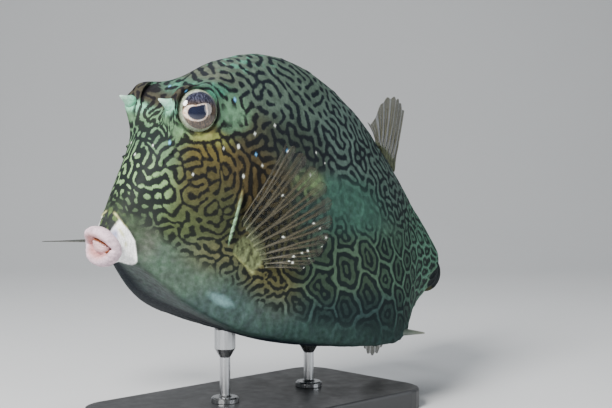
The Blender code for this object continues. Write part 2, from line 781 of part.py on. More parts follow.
def sunk(roots, tips, depth):
    """Root points moved away from the tips, so that the fin's root is inside its host."""
    roots, tips = np.asarray(roots, float), np.asarray(tips, float)
    away = roots - tips
    return roots + away / np.linalg.norm(away, axis=1)[:, None] * depth


def spread(points, count):
    """Points along a smooth curve through a few points."""
    return catmull(points, np.linspace(0, len(points) - 1, count))


# Ends of the fins' root and of their outer edge, in the fish's frame
PECTORAL_RAYS = 11
LEFT_ROOT = ((70, 57), (78, 49), (88, 41))
LEFT_EDGE = ((91, -44, 109), (99, -48, 106), (111, -53, 94), (119, -56, 80), (118, -58, 63),
             (112, -58, 50), (102, -55, 42))
LEFT_BOW = (-2, -5, 1)
RIGHT_ROOT = ((76, 51), (83, 47.5), (90, 43))
RIGHT_EDGE = ((24, 76, 38.7), (35, 88, 37.3), (50, 98, 36.2), (65, 105, 35.5), (80, 107, 35.5),
              (91, 103, 36.2), (97, 94, 37.5))
RIGHT_BOW = (0, 0, -1)
DORSAL_RAYS = 8
DORSAL_ROOT = ((211, 0, 115.5), (220, 0, 109), (230, 0, 101))
DORSAL_EDGE = ((203, 1, 126), (207, 0.5, 126.5), (212, 0, 137.5), (217.5, 0, 143), (223, -1, 144),
               (227, -1, 143), (231, 0, 140.5), (235, 0, 136))
DORSAL_BOW = (1, 0, 0)
ANAL_RAYS = 7
ANAL_ROOT = ((221, 0, 10.5), (230, 0, 16), (239, 0, 21.5))
ANAL_EDGE = ((221, 2, -11), (228, 4, -19), (237, 6, -22.5), (246, 8, -20), (252, 9, -11))
ANAL_BOW = (-1, 0, 0)


def build_pectorals(head_form, shell, parent):
    """The near fin stands up against the side, and the far one is held out flat and forward."""
    sides = (("pectoral_fin_left", LEFT_ROOT, LEFT_EDGE, LEFT_BOW),
             ("pectoral_fin_right", RIGHT_ROOT, RIGHT_EDGE, RIGHT_BOW))
    for name, root, edge, bow in sides:
        tips = spread(edge, PECTORAL_RAYS)
        roots = spread([side_point(x, z) for x, z in root], PECTORAL_RAYS)
        roots = (roots - [0, PECTORAL_SINK, 0]) * [1, np.sign(tips[0, 1]), 1]
        fin = add_object(name, *fin_shape(roots, tips, bow, PECTORAL_PAD), "fin", parent, 60)
        fit_against(fin, head_form, shell)


def build_middle_fins(shell, parent):
    fins = (("dorsal_fin", DORSAL_ROOT, DORSAL_EDGE, DORSAL_BOW, DORSAL_RAYS),
            ("anal_fin", ANAL_ROOT, ANAL_EDGE, ANAL_BOW, ANAL_RAYS))
    for name, root, edge, bow, rays in fins:
        roots, tips = spread(root, rays), spread(edge, rays)
        shape = fin_shape(sunk(roots, tips, FIN_SINK), tips, bow, pad=1.8)
        fit_against(add_object(name, *shape, "fin", parent, 60), shell)


def build_tail_fin(stalk, parent):
    """A rounded fan that starts on the stalk's blunt end and curls on to the right."""
    roots, tips = [], []
    for share in np.linspace(-1, 1, TAIL_RAYS):
        start, _, _ = stalk_frame(STALK_LENGTH - FIN_SINK)
        roots.append(start + Vector((0, 0, STALK_HALF_HEIGHT[1] * 0.86 * share)))
        reach = TAIL_LENGTH * (1 - 0.10 * share**2)
        end, _, side = stalk_frame(STALK_LENGTH + reach)
        ripple = side * (1.5 * math.sin(3 * share))
        tips.append(end + ripple + Vector((0, 0, TAIL_SPREAD * math.sin(share * 1.25) / math.sin(1.25))))
    _, _, side = stalk_frame(STALK_LENGTH)
    shape = fin_shape(roots, tips, side * -2.0, pad=2.2)
    fit_against(add_object("caudal_fin", *shape, "fin", parent, 60), stalk)


# Stand

def fish_pose():
    """The fish's place in the room: banked, nose up, its balance point over the base."""
    turn = Matrix.Rotation(math.radians(BANK), 4, "X") @ Matrix.Rotation(math.radians(NOSE_UP), 4, "Y")
    height = BASE_SIZE[2] + BELLY_CLEARANCE
    place = Vector((0, 0, height)) - turn @ BALANCE
    return Matrix.Translation(place * MM) @ turn


def rounded_outline(length, width, corner, steps=6):
    outline = []
    middles = ((1, 1, 0), (-1, 1, 90), (-1, -1, 180), (1, -1, 270))
    for sx, sy, start in middles:
        middle = (sx * (length / 2 - corner), sy * (width / 2 - corner))
        for k in range(steps + 1):
            turn = math.radians(start + 90 * k / steps)
            outline.append((middle[0] + corner * math.cos(turn), middle[1] + corner * math.sin(turn)))
    return outline


def build_base():
    length, width, height = BASE_SIZE
    rings = []
    for inset, z in ((0, 0), (0, height - BASE_BEVEL), (0.3 * BASE_BEVEL, height - 0.3 * BASE_BEVEL),
                     (BASE_BEVEL, height)):
        outline = rounded_outline(length - 2 * inset, width - 2 * inset, BASE_CORNER - inset)
        rings.append([(x, y, z) for x, y in outline])
    points, faces = loft(rings, caps=False)
    count = len(rings[0])
    faces += [tuple(range(count)), tuple(range(3 * count, 4 * count))]
    add_object("stand_base", points, faces, "base", sharp=30)


def build_rods(shell, pose):
    """Two rods, each with a flange on the base and a cup against the belly."""
    floor = BASE_SIZE[2] + GAP
    for name, x in zip(("stand_rod_front", "stand_rod_rear"), ROD_PLACES):
        belly = pose @ (Vector((x, 0, -5)) * MM) / MM
        top = belly.z + 14
        low, high = floor + FLANGE[1], belly.z - CUP[1]
        profile = ((FLANGE[0], floor), (FLANGE[0], low - 0.8), (FLANGE[0] - 0.8, low), (ROD_RADIUS + 1, low),
                   (ROD_RADIUS, low + 1), (ROD_RADIUS, high - 3), (CUP[0], high + 2), (CUP[0], top))
        rings = []
        for radius, z in profile:
            turns = [2 * math.pi * k / ROD_SIDES for k in range(ROD_SIDES)]
            ring = [(radius * math.cos(t), radius * math.sin(t)) for t in turns]
            rings.append([(belly.x + x_out, belly.y + y_out, z) for x_out, y_out in ring])
        rod = add_object(name, *loft(rings), "rod")
        fit_against(rod, shell)


def main():
    clear_scene()
    pose = fish_pose()
    fish = bpy.data.objects.new("fish", None)
    bpy.context.scene.collection.objects.link(fish)
    fish.matrix_world = pose
    bpy.context.view_layer.update()
    head_form = build_head(fish)
    eyes = build_eyes(fish)
    build_horns(head_form, eyes, fish)
    build_lips(head_form, fish)
    shell = build_shell(fish)
    build_keel_spines(shell, fish)
    stalk = build_stalk(shell, fish)
    build_tail_fin(stalk, fish)
    build_pectorals(head_form, shell, fish)
    build_middle_fins(shell, fish)
    build_base()
    build_rods(shell, pose)
    bpy.data.objects.remove(head_form)


main()
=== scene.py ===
"""Looks of the honeycomb cowfish on its display stand.

The skin, eyes, teeth, horns, spines and fins are modelled here in the fish's own frame, in millimetres: x
runs from the lips back to the tail, y to the fish's right and z up. They stand for the CAD solids of the
same names. The base and the rods are the CAD's own. The dark labyrinth on the skin grows by a rule: each
point turns dark or pale by its near and its farther neighbours.
"""

import math

import bmesh
import bpy
import numpy as np
from mathutils import Matrix, Vector


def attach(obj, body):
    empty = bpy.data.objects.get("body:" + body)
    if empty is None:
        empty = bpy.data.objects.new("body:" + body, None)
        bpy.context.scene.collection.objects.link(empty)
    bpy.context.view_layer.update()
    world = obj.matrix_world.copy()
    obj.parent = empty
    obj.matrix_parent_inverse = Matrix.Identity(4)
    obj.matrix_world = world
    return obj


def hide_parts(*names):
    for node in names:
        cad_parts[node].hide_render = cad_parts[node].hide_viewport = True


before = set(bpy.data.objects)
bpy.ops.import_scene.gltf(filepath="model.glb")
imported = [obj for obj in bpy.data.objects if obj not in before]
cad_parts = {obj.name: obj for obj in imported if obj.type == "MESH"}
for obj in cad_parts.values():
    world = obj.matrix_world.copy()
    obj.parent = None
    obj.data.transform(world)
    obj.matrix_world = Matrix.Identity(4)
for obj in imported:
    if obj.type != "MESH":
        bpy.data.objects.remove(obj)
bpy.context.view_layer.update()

# Sizes shared with the CAD source, in millimetres and degrees
MM = 0.001
NOSE_UP = 4.3
BANK = 4.2
BELLY_CLEARANCE = 34.0
BALANCE = Vector((128.0, 0.0, -6.0))
BASE_HEIGHT = 12.0

# Stations of the body, each with the back's midline (x, z), the keel (x, y, z), the belly's midline (x, z),
# the half width of the rounded back and how far up the side the wall stays steep
STATIONS = (
    ((10, 56), (11, 9.5, 43), (11, 36), 9.5, 0.30),
    ((14, 70), (21, 12.5, 41), (23, 38), 14.0, 0.34),
    ((23, 92), (34, 20.5, 31), (38, 30), 21.0, 0.36),
    ((33, 113), (50, 28.0, 19), (54, 18), 28.0, 0.38),
    ((46, 128), (67, 36.0, 10), (72, 9), 32.0, 0.38),
    ((65, 146), (85, 42.0, 4), (89, 2), 27.0, 0.38),
    ((89, 155), (104, 47.0, 2), (108, -3), 26.0, 0.40),
    ((114, 158), (127, 51.0, 0), (131, -6), 25.0, 0.40),
    ((142, 153), (152, 54.0, -2), (154, -7), 24.0, 0.38),
    ((172, 140), (177, 54.0, -3), (178, -5), 22.0, 0.36),
    ((199, 122), (195, 51.0, -2), (199, 0), 19.0, 0.36),
    ((223, 102), (207, 46.0, 2), (217, 7), 16.0, 0.36),
    ((244, 82), (220, 37.0, 11), (232, 15), 14.0, 0.36),
    ((263, 65), (242, 25.0, 20), (250, 22), 12.0, 0.34),
    ((278, 51), (270, 13.0, 27), (270, 24), 9.0, 0.32),
)
RIM_STATION = len(STATIONS) - 1
KEEL_ROUND = 5.0
# How far the belly's curve is drawn in from the keel, and out from the midline
KEEL_PULL = (0.35, 0.9)
BELLY_PULL = 0.45
# Fine steps over a half section's side, under its belly, and evenly along the whole
SIDE_FINE, UNDER_FINE, EVEN_FINE = 160, 80, 400
SIDE_ROWS = 8
BELLY_ROWS = 3
HALF_ROWS = SIDE_ROWS + BELLY_ROWS
ROWS = 2 * HALF_ROWS
STATION_STEPS = 32
ROW_STEPS = 22
COLUMNS = ROWS * ROW_STEPS

NECK_HIGH = 5.22
NECK_LOW = 4.40
NECK_ROWS = (3.4, 5.6)
PLATE_COLUMNS = 13
PLATE_RISE = 0.6
PLATE_CROWN = 0.9
BARE_EDGE = 0.006
GROOVE_DEPTH = 0.22
GROOVE_WIDTH = 0.7

EYE_CENTRE = np.array((47.2, 19.8, 121.0))
EYE_RADII = np.array((11.5, 7.5, 11.5))
EYE_FORWARD = 16.0
EYE_UP = 6.0
# Swellings of the right side: centre, radii, direction and height
ORBIT = ((45.7, 21, 121.2), (19, 15, 18), (-0.1, 1.0, 0.1), 5.0)
BROW = ((42, 19, 122), (15, 10, 13), (-0.45, 0.15, 1.0), 13.0)
BROW_FRONT = ((36, 18, 128), (8, 8, 6), (-0.6, 0.0, 0.8), 2.5)
MOUND_OF_HORN = ((36, 20, 117), (9, 8, 10), (-0.7, 0.1, 0.7), 8.0)
FOOT_OF_HORN = ((32, 18.5, 119), (6, 5, 5.5), (-0.5, 0.35, 0.6), 1.8)
BROW_TAIL = ((62, 19, 134), (14, 9, 12), (0.0, 0.25, 1.0), 4.0)
CHEEK = ((62, 34, 52), (26, 18, 26), (-0.1, 1.0, -0.1), 2.5)
SWELLINGS = (ORBIT, BROW, BROW_FRONT, MOUND_OF_HORN, FOOT_OF_HORN, BROW_TAIL, CHEEK)
FLAT_MIDLINE = 5.0
ORBIT_LEVEL = 1.5
ORBIT_BLEND = 4.5
ORBIT_RIM_HEIGHT = 1.3
ORBIT_RIM_WIDTH = 1.6
NOSTRILS = ((33.5, 98.0), (30.0, 92.5))
NOSTRIL_RADIUS = 1.2
GILL_ROWS = (3.95, 5.35)
GILL_AHEAD = 0.13
GILL_WIDTH = 0.9
GILL_DEPTH = 2.4
# Horns and spines: base, tip, radius, height for their width, and shares of the radius on the way to the tip
SPIKES = (
    ("horn", (31.0, 17.0, 122.6), (23.8, 16.5, 124.8), 2.2, 1.0,
     ((-0.2, 1.7), (0, 1.6), (0.3, 1.05), (0.55, 0.72), (0.8, 0.45), (0.95, 0.25), (1, 0.1))),
    ("keel_spine", (203.0, 45.5, 3.6), (225.0, 44.5, 2.0), 3.2, 0.75,
     ((-0.25, 1.1), (0, 0.95), (0.35, 0.68), (0.7, 0.42), (0.95, 0.22), (1, 0.1))),
)

# Mouth: the ring of lips has an oval section, across it and fore and aft, at its middle and at its corners
LIP_CENTRE = np.array((7.2, 0.0, 46.0))
LIP_HALF_WIDTH = 10.4
LIP_HALF_HEIGHT = 7.4
LIP_ACROSS = (3.1, 2.7)
LIP_DEEP = (4.3, 3.5)
LIP_CORNER_BACK = 3.4
LIP_LEAN = 0.9
LOWER_LIP_BACK = 3.0
LIP_BENDS = (-62, 212)
LIP_RINGS = 52
CREASE_CORNER = 0.13
# The tongue from its middle out to the crease: share of the opening's width, then x
TONGUE = ((0.12, 4.9), (0.28, 4.95), (0.42, 5.05), (0.55, 5.25), (0.66, 5.6), (0.75, 6.2), (0.82, 7.1),
          (0.88, 8.4), (0.93, 9.4), (0.975, 9.9))
CLOSED_AT = 6.6
# Teeth in the crease: how far across each stands, from -1 at the mouth's left corner, and above or below
TEETH = [(share, 1) for share in np.linspace(-0.84, 0.14, 8)] + [(-0.84, -1), (-0.76, -1), (-0.68, -1)]
TOOTH_ROOT = 9.6
TOOTH_ARCH = (7.4, 4.0)
TOOTH_REACH = (4.3, 0.55)
TOOTH_RADIUS = 0.55
TOOTH_FLAT = 1.2
TOOTH_WIDTHS = ((0, 1.0), (0.7, 0.95), (1, 0.5))

# Tail stalk and tail fin; each half size is at the stalk's start and at its end
STALK_START = Vector((270.5, 0.0, 34.5))
STALK_LENGTH = 31.0
STALK_BEND = 74.0
STALK_DROOP = 8.0
STALK_HALF_WIDTH = (8.5, 4.6)
STALK_HALF_HEIGHT = (10.5, 9.0)
STALK_RINGS = 36
STALK_MOUTH = ((0.95, 0.3), (0.86, 1.3))
STALK_END = ((0.9, -0.2), (0.6, -0.3))
TAIL_RAYS = 10
TAIL_LENGTH = 56.0
TAIL_SPREAD = 31.0
TAIL_FAN = 1.25
TAIL_CURL = 12.0
TAIL_BOW = -2.0

# Fins: half thickness of a ray and of the web, at the root and at the edge
RAY_HALF_THICK = (0.8, 0.22)
WEB_HALF_THICK = (0.4, 0.12)
PECTORAL_RAYS = 11
PECTORAL_SINK = 8.0
PECTORAL_PAD = 3.4
# The root as places (x, z) of the side, then the edge, the bow and the flecks
PECTORAL_FINS = (
    ("pectoral_fin_left", ((70, 57), (78, 49), (88, 41)),
     ((91, -44, 109), (99, -48, 106), (111, -53, 94), (119, -56, 80), (118, -58, 63), (112, -58, 50),
      (102, -55, 42)), (-2, -5, 1), 14),
    ("pectoral_fin_right", ((76, 51), (83, 47.5), (90, 43)),
     ((24, 76, 38.7), (35, 88, 37.3), (50, 98, 36.2), (65, 105, 35.5), (80, 107, 35.5), (91, 103, 36.2),
      (97, 94, 37.5)), (0, 0, -1), 8),
)
FIN_SINK = 4.0
FIN_PAD = 1.6
TAIL_PAD = 2.0
# The root, the edge, the bow and the rays
MIDDLE_FINS = (
    ("dorsal_fin", ((211, 0, 115.5), (220, 0, 109), (230, 0, 101)),
     ((203, 1, 126), (207, 0.5, 126.5), (212, 0, 137.5), (217.5, 0, 143), (223, -1, 144), (227, -1, 143),
      (231, 0, 140.5), (235, 0, 136)), (1, 0, 0), 8),
    ("anal_fin", ((221, 0, 10.5), (230, 0, 16), (239, 0, 21.5)),
     ((221, 2, -11), (228, 4, -19), (237, 6, -22.5), (246, 8, -20), (252, 9, -11)), (-1, 0, 0), 7),
)


def smoothstep(x):
    x = np.clip(x, 0, 1)
    return x * x * (3 - 2 * x)


def rise(value, start, width):
    """0 up to the start, and 1 from a width past it."""
    return smoothstep((value - start) / width)


def fall(value, end, width):
    """1 until a width before the end, and 0 past it."""
    return smoothstep((end - value) / width)


def hill(value, top, width):
    """1 at the top, and less the farther the value is from it."""
    return np.exp(-(((value - top) / width) ** 2))


def norm(vectors):
    return np.linalg.norm(vectors, axis=-1)


def unit(vectors, tiny=0.0):
    """The vectors at length 1. A tiny length keeps those without a direction from failing."""
    return vectors / (norm(vectors)[..., None] + tiny)


def srgb(*levels):
    """A colour given as screen levels from 0 to 255, turned into the linear values a shader takes."""
    c = np.array(levels, float) / 255
    return np.where(c <= 0.04045, c / 12.92, ((c + 0.055) / 1.055) ** 2.4)


# The body's surface, as in the CAD source but finer

def catmull(values, at):
    """Reads a smooth curve through the rows of values at the places at, counted in rows."""
    rows = np.asarray(values, float)
    at = np.clip(np.asarray(at, float), 0, len(rows) - 1 - 1e-9)
    i = at.astype(int)
    f = (at - i).reshape(at.shape + (1,) * (rows.ndim - 1))
    ends = np.concatenate([2 * rows[:1] - rows[1:2], rows, 2 * rows[-1:] - rows[-2:-1]])
    a, b, c, d = ends[i], ends[i + 1], ends[i + 2], ends[i + 3]
    line = 2 * b + (c - a) * f
    return 0.5 * (line + (2 * a - 5 * b + 4 * c - d) * f**2 + (3 * b - a - 3 * c + d) * f**3)


def bezier(points, count):
    t = np.linspace(0, 1, count)[:, None]
    a, b, c, d = (np.asarray(p, float) for p in points)
    return (1 - t) ** 3 * a + 3 * (1 - t) ** 2 * t * b + 3 * (1 - t) * t**2 * c + t**3 * d


def read_line(line, lengths, at):
    return np.stack([np.interp(at, lengths, line[:, k]) for k in range(3)], 1)


def rounded(line, width):
    """Rounds a half section's corners by averaging it over a width, mirrored at both midlines."""
    mirror = line * [1, -1, 1]
    whole = np.concatenate([mirror[:0:-1], line, mirror[-2::-1]])
    kernel = np.ones(width) / width
    for _ in range(2):
        whole = np.stack([np.convolve(whole[:, k], kernel, "same") for k in range(3)], 1)
    half = whole[len(line) - 1 : 2 * len(line) - 1]
    half[0, 1] = half[-1, 1] = 0
    return half


def half_section(values):
    """One half section on the fish's right, from the back past the keel to the belly's midline."""
    back_x, back_z, keel_x, keel_y, keel_z, belly_x, belly_z, crown, steep = values
    back = np.array([back_x, 0, back_z])
    keel = np.array([keel_x, keel_y, keel_z])
    belly = np.array([belly_x, 0, belly_z])
    lean = (back - keel) * [1, 0, 1] * steep
    inward = [0, -KEEL_PULL[0] * keel_y, KEEL_PULL[1] * (belly_z - keel_z)]
    side = bezier((back, back + [0, crown, 0], keel + lean, keel), SIDE_FINE + 1)
    under = bezier((keel, keel + inward, belly + [0, BELLY_PULL * keel_y, 0], belly), UNDER_FINE + 1)
    line = np.concatenate([side, under[1:]])
    lengths = np.r_[0, np.cumsum(norm(np.diff(line, axis=0)))]
    keel_length, whole = lengths[SIDE_FINE], lengths[-1]
    even = np.linspace(0, whole, EVEN_FINE + 1)
    width = max(1, round(min(KEEL_ROUND, 0.1 * whole) / (whole / EVEN_FINE)))
    fine = rounded(read_line(line, lengths, even), width)
    side_at = np.linspace(0, keel_length, SIDE_ROWS * ROW_STEPS + 1)
    under_at = np.linspace(keel_length, whole, BELLY_ROWS * ROW_STEPS + 1)[1:]
    return read_line(fine, even, np.r_[side_at, under_at])


def swell(points, swelling):
    """Pushes the right half's points near a centre outwards, and none on the midline."""
    centre, radii, direction, height = swelling
    near = np.exp(-(((points - centre) / radii) ** 2).sum(-1))
    near *= 1 - hill(points[..., 1], 0, FLAT_MIDLINE)
    push = np.array(direction) / np.linalg.norm(direction) * height
    return points + near[..., None] * push


def eye_axes(side):
    """The turn of an eye: its own y axis points out of the head, forward and up a little."""
    turn = Matrix.Rotation(math.radians(EYE_FORWARD), 3, "Z") @ Matrix.Rotation(math.radians(EYE_UP), 3, "X")
    if side > 0:
        return np.array(turn)
    flip = Matrix.Diagonal((1, -1, 1))
    return np.array(flip @ turn @ flip)


def eye_distances(points):
    """How far out of the right eye's centre points lie, and how far across from its axis."""
    axis = eye_axes(1)[:, 1]
    away = points - EYE_CENTRE
    out = away @ axis
    return out, norm(away - out[..., None] * axis)


def open_orbit(points):
    """Levels the skin over the eye, so that the eye shows whole, and raises a ring round it."""
    out, across = eye_distances(points)
    past = across - EYE_RADII[0]
    level = (1 - rise(past, -0.5, ORBIT_BLEND)) * rise(out, -9, 4)
    ring = hill(past, 1.0, ORBIT_RIM_WIDTH) * rise(out, -9, 4)
    push = level * (ORBIT_LEVEL - out) + ORBIT_RIM_HEIGHT * ring
    return points + push[..., None] * eye_axes(1)[:, 1]


def body_table():
    """The whole body as a closed table of points: station, then row from the back round the right."""
    stations = np.array([(*b, *k, *v, crown, steep) for b, k, v, crown, steep in STATIONS], float)
    places = np.arange(RIM_STATION * STATION_STEPS + 1) / STATION_STEPS
    right = np.array([half_section(v) for v in catmull(stations, places)])
    for swelling in SWELLINGS:
        right = swell(right, swelling)
    right = open_orbit(right)
    left = right[:, -2:0:-1] * [1, -1, 1]
    return np.concatenate([right, left], 1)


def table_normals(table):
    round_ = np.roll(table, -1, 1) - np.roll(table, 1, 1)
    return unit(np.cross(round_, np.gradient(table, axis=0)))


BODY = body_table()
BODY_NORMALS = table_normals(BODY)
STATION_GRID, ROW_GRID = np.meshgrid(np.arange(len(BODY)) / STATION_STEPS, np.arange(COLUMNS) / ROW_STEPS,
                                     indexing="ij")
# The rows counted from the back down on either side
SIDE_GRID = HALF_ROWS - np.abs(HALF_ROWS - ROW_GRID)


def read_table(table, station, row):
    station, row = np.broadcast_arrays(np.asarray(station, float), np.asarray(row, float))
    u = np.clip(station * STATION_STEPS, 0, len(table) - 1 - 1e-6)
    q = (row % ROWS) * ROW_STEPS
    i, j = u.astype(int), q.astype(int) % table.shape[1]
    f, g = (u - i)[..., None], (q - np.floor(q))[..., None]
    k = (j + 1) % table.shape[1]
    near = table[i, j] * (1 - g) + table[i, k] * g
    far = table[i + 1, j] * (1 - g) + table[i + 1, k] * g
    return near * (1 - f) + far * f


def neck_station(row):
    """The station at which the head meets the shell, at each row."""
    q = HALF_ROWS - np.abs(HALF_ROWS - np.asarray(row, float) % ROWS)
    low, high = NECK_ROWS
    return NECK_HIGH + (NECK_LOW - NECK_HIGH) * rise(q, low, high - low)


def side_point(x, z):
    """The point of the fish's right side at this x and z."""
    right = BODY[:, : SIDE_ROWS * ROW_STEPS]
    gap = np.hypot(right[..., 0] - x, right[..., 2] - z)
    return right[np.unravel_index(gap.argmin(), gap.shape)]


def fish_pose():
    """The fish's place in the room: banked, nose up, its balance point over the base."""
    turn = Matrix.Rotation(math.radians(BANK), 4, "X") @ Matrix.Rotation(math.radians(NOSE_UP), 4, "Y")
    place = Vector((0, 0, BASE_HEIGHT + BELLY_CLEARANCE)) - turn @ BALANCE
    return Matrix.Translation(place * MM) @ turn


POSE = fish_pose()


# Plates

PLATE_WANDER = 0.07
WAVES = 24


def smooth_noise(points, period, seed):
    """Soft noise over the body: a sum of waves that run in many directions."""
    draw = np.random.default_rng(seed)
    total = np.zeros(points.shape[:-1])
    for _ in range(WAVES):
        way = draw.normal(size=3)
        way /= np.linalg.norm(way)
        scale = 2 * np.pi / (period * draw.uniform(0.7, 1.6))
        total += np.sin(points @ way * scale + draw.uniform(0, 6.3))
    return total / math.sqrt(WAVES / 2)


def plate_places(points, station, row):
    """For points of the shell: 0 at the middle of their plate to 1 at its edge, which wanders a little."""
    neck = neck_station(row)
    share = (station - neck) / (RIM_STATION - neck)
    step = (1 - 2 * BARE_EDGE) / (PLATE_COLUMNS + 1 / 3)
    place = (share - BARE_EDGE) / step - 2 / 3 + PLATE_WANDER * smooth_noise(points, 14, 21)
    row = row + PLATE_WANDER * smooth_noise(points, 14, 22)
    nearest = np.full(np.shape(place), 9.0)
    for column in (np.floor(place), np.floor(place) + 1):
        shift = 0.5 * (column % 2)
        middle = np.round(row - shift) + shift
        along, across = np.abs(place - column), np.abs(row - middle)
        nearest = np.minimum(nearest, np.maximum(2 * across, 1.5 * along + across))
    return nearest


def ring_perimeters(table):
    return norm(np.roll(table, -1, 1) - table).sum(1)


PLATES = plate_places(BODY, STATION_GRID, ROW_GRID)
HALF_PLATES = ring_perimeters(BODY)[:, None] / ROWS / 2
ON_SHELL = rise(STATION_GRID - neck_station(ROW_GRID), 0, 0.3)


# The labyrinth of lines

LINE_PERIOD = 4.0
NEAR_SHARE = 0.174
FAR_SHARE = 1.6
PAIR_REACH = 2.8
SAMPLE_SPACING = 1.0
GROWTH_STEPS = 34
GROWTH_GAIN = 7.0
ZIGZAG_PERIOD = 9.0
ZIGZAG_REACH = 0.36
ZIGZAG_WAVES = 6
ZIGZAG_SEED = 61
SEED = 7
# The cheek's lines curl round this place (x, z)
CHEEK_CURL = (48.0, 84.0)


def sample_body():
    """Points spread evenly over the body, ring by ring: their stations and rows, and the rings' sizes."""
    steps = np.percentile(norm(np.diff(BODY, axis=0)), 75, axis=1)
    length = np.r_[0, np.cumsum(steps)]
    rings = np.interp(np.arange(0, length[-1], SAMPLE_SPACING), length, np.arange(len(length)))
    around = np.interp(rings, np.arange(len(BODY)), ring_perimeters(BODY))
    counts = 2 * np.round(around / SAMPLE_SPACING / 2).astype(int)
    station = np.repeat(rings / STATION_STEPS, counts)
    row = np.concatenate([np.arange(n) * ROWS / n for n in counts])
    return station, row, counts, rings


def neighbours(points, reach):
    """All pairs of points within a reach of each other, found through a grid of cells."""
    cell = np.floor((points - points.min(0)) / reach).astype(np.int64) + 1
    size = cell.max(0) + 2
    key = (cell[:, 0] * size[1] + cell[:, 1]) * size[2] + cell[:, 2]
    order = np.argsort(key, kind="stable")
    ordered = key[order]
    pairs = []
    shifts = [(i, j, k) for i in (-1, 0, 1) for j in (-1, 0, 1) for k in (-1, 0, 1)]
    for i, j, k in shifts:
        target = key + (i * size[1] + j) * size[2] + k
        low = np.searchsorted(ordered, target, "left")
        count = np.searchsorted(ordered, target, "right") - low
        first = np.repeat(np.arange(len(points)), count)
        within = np.arange(count.sum()) - np.repeat(np.cumsum(count) - count, count)
        second = order[np.repeat(low, count) + within]
        gap = points[second] - points[first]
        near = (gap**2).sum(1) < reach**2
        pairs.append((first[near], second[near], gap[near]))
    return [np.concatenate(part) for part in zip(*pairs)]


def blob(points, centre, radii, edge=0.5, slope=0.0):
    """A soft patch on both sides of the fish, from its place and radii in x and z."""
    ahead = points[..., 0] - centre[0]
    up = points[..., 2] - centre[1] - slope * ahead
    return 1 - rise(np.hypot(ahead / radii[0], up / radii[1]), 1 - edge, 2 * edge)


def to_right(points):
    """What turns points of the left side into the same places on the right side."""
    return np.where(points[..., 1:2] < 0, [1, -1, 1], [1, 1, 1])


def round_eye(points):
    """How far points of either side lie out of that side's eye, and how far across from its axis."""
    return eye_distances(points * to_right(points))


# The lower limit of the lines on the side, as x and z
PLAIN_LINE = np.array(((10, 64), (25, 58), (33, 51), (43, 45), (53, 39), (70, 30), (86, 21), (111, 13),
                       (140, 6), (192, 2), (235, 14), (275, 34)), float)

# Patches without lines, at each horn and before each eye: the right one's place, then its radius
PLAIN_PATCHES = (((30.5, 17.0, 120.5), 3.6), ((32.5, 15.5, 114.5), 3.4), ((36.0, 19.5, 109.5), 3.2))

# The lines are fainter behind the fin and the eye: how far they fade, place, radii, edge and slope
FAINT = ((0.76, (150, 78), (42, 10), 0.6, -0.34), (0.95, (68, 121), (8, 5), 0.4))
# They fade on half a ring under the eye: its radius, its width and how far they fade
UNDER_EYE = (13.0, 1.3, 0.65)


def line_cover(points, station, q):
    """Where the lines show, from 0 to 1."""
    height = points[..., 2] - np.interp(points[..., 0], *PLAIN_LINE.T)
    cover = rise(height, -3, 8) * (1 - rise(q - SIDE_ROWS, -0.7, 0.7))
    for share, *place in FAINT:
        cover = cover * (1 - share * blob(points, *place))
    for place, radius in PLAIN_PATCHES:
        away = norm(points * [1, 0, 1] + np.abs(points) * [0, 1, 0] - place)
        cover = cover * rise(away, 0.6 * radius, 0.7 * radius)
    out, across = round_eye(points)
    far, width, share = UNDER_EYE
    cover = cover * (1 - share * hill(across, far, width) * (out > -6) * fall(points[..., 2], 122, 6))
    return cover * rise(station, 0.5, 0.7)


def eye_ring(points):
    """Where the lines run round the eye: over and under it, not behind it."""
    out, across = round_eye(points)
    return hill(across, 15.0, 5.5) * (out > -8) * (1 - blob(points, (72, 118), (12, 13)))


def same_way(vectors, guide):
    """The vectors, turned about where they point against their guide."""
    return vectors * np.where((vectors * guide).sum(1) < 0, -1, 1)[:, None]


def line_flow(points, station, row):
    """The way that lines run: round the eye, curling round the cheek, and along the back."""
    side = to_right(points)
    along = unit(read_table(np.gradient(BODY, axis=0), station, row))
    curl = np.stack([points[:, 2] - CHEEK_CURL[1], 0 * points[:, 1], CHEEK_CURL[0] - points[:, 0]], 1)
    ring = np.cross(eye_axes(1)[:, 1], points * side - EYE_CENTRE) * side
    on_cheek = blob(points, CHEEK_CURL, (40, 40), 0.3)
    on_ring = eye_ring(points)
    flow = along
    for way, share in ((unit(curl, 1e-6), on_cheek), (unit(ring, 1e-6), on_ring)):
        flow = flow * (1 - share)[:, None] + same_way(way, flow) * share[:, None]
    normal = read_table(BODY_NORMALS, station, row)
    swerve = (1.1 * (1 - on_ring) * (1 - 0.6 * on_cheek) * smooth_noise(points, 30, 41))[:, None]
    flow = flow * np.cos(swerve) + np.cross(normal, flow) * np.sin(swerve)
    return unit(flow - normal * (flow * normal).sum(1)[:, None], 1e-6)


def line_stretch(points):
    """How much longer than wide the lines' loops are."""
    away = np.hypot(points[:, 0] - CHEEK_CURL[0], points[:, 2] - CHEEK_CURL[1])
    cheek = rise(away, 6, 6) * fall(away, 44, 10)
    return 1.12 + 0.30 * cheek + 0.20 * rise(points[:, 2], 108, 22) + 0.30 * eye_ring(points)


def line_scale(points):
    """How coarse the lines are: finest on the snout, coarsest over the eye, the back and the upper side."""
    x, z = points[:, 0], points[:, 2]
    coarse = np.maximum(rise(z, 94, 16) * rise(x, 34, 14), rise(x, 62, 16) * rise(z, 66, 16))
    plates = rise(x, 88, 30)
    return 1 + 0.45 * coarse + (1 - coarse) * (0.14 * plates + 0.12 * blob(points, CHEEK_CURL, (24, 24)))


def plate_strength(points):
    """How far the lines follow the plates: most low on the rear of the side."""
    return rise(points[..., 0], 80, 30) * (1 - rise(points[..., 2], 46, 24)) + 0.04


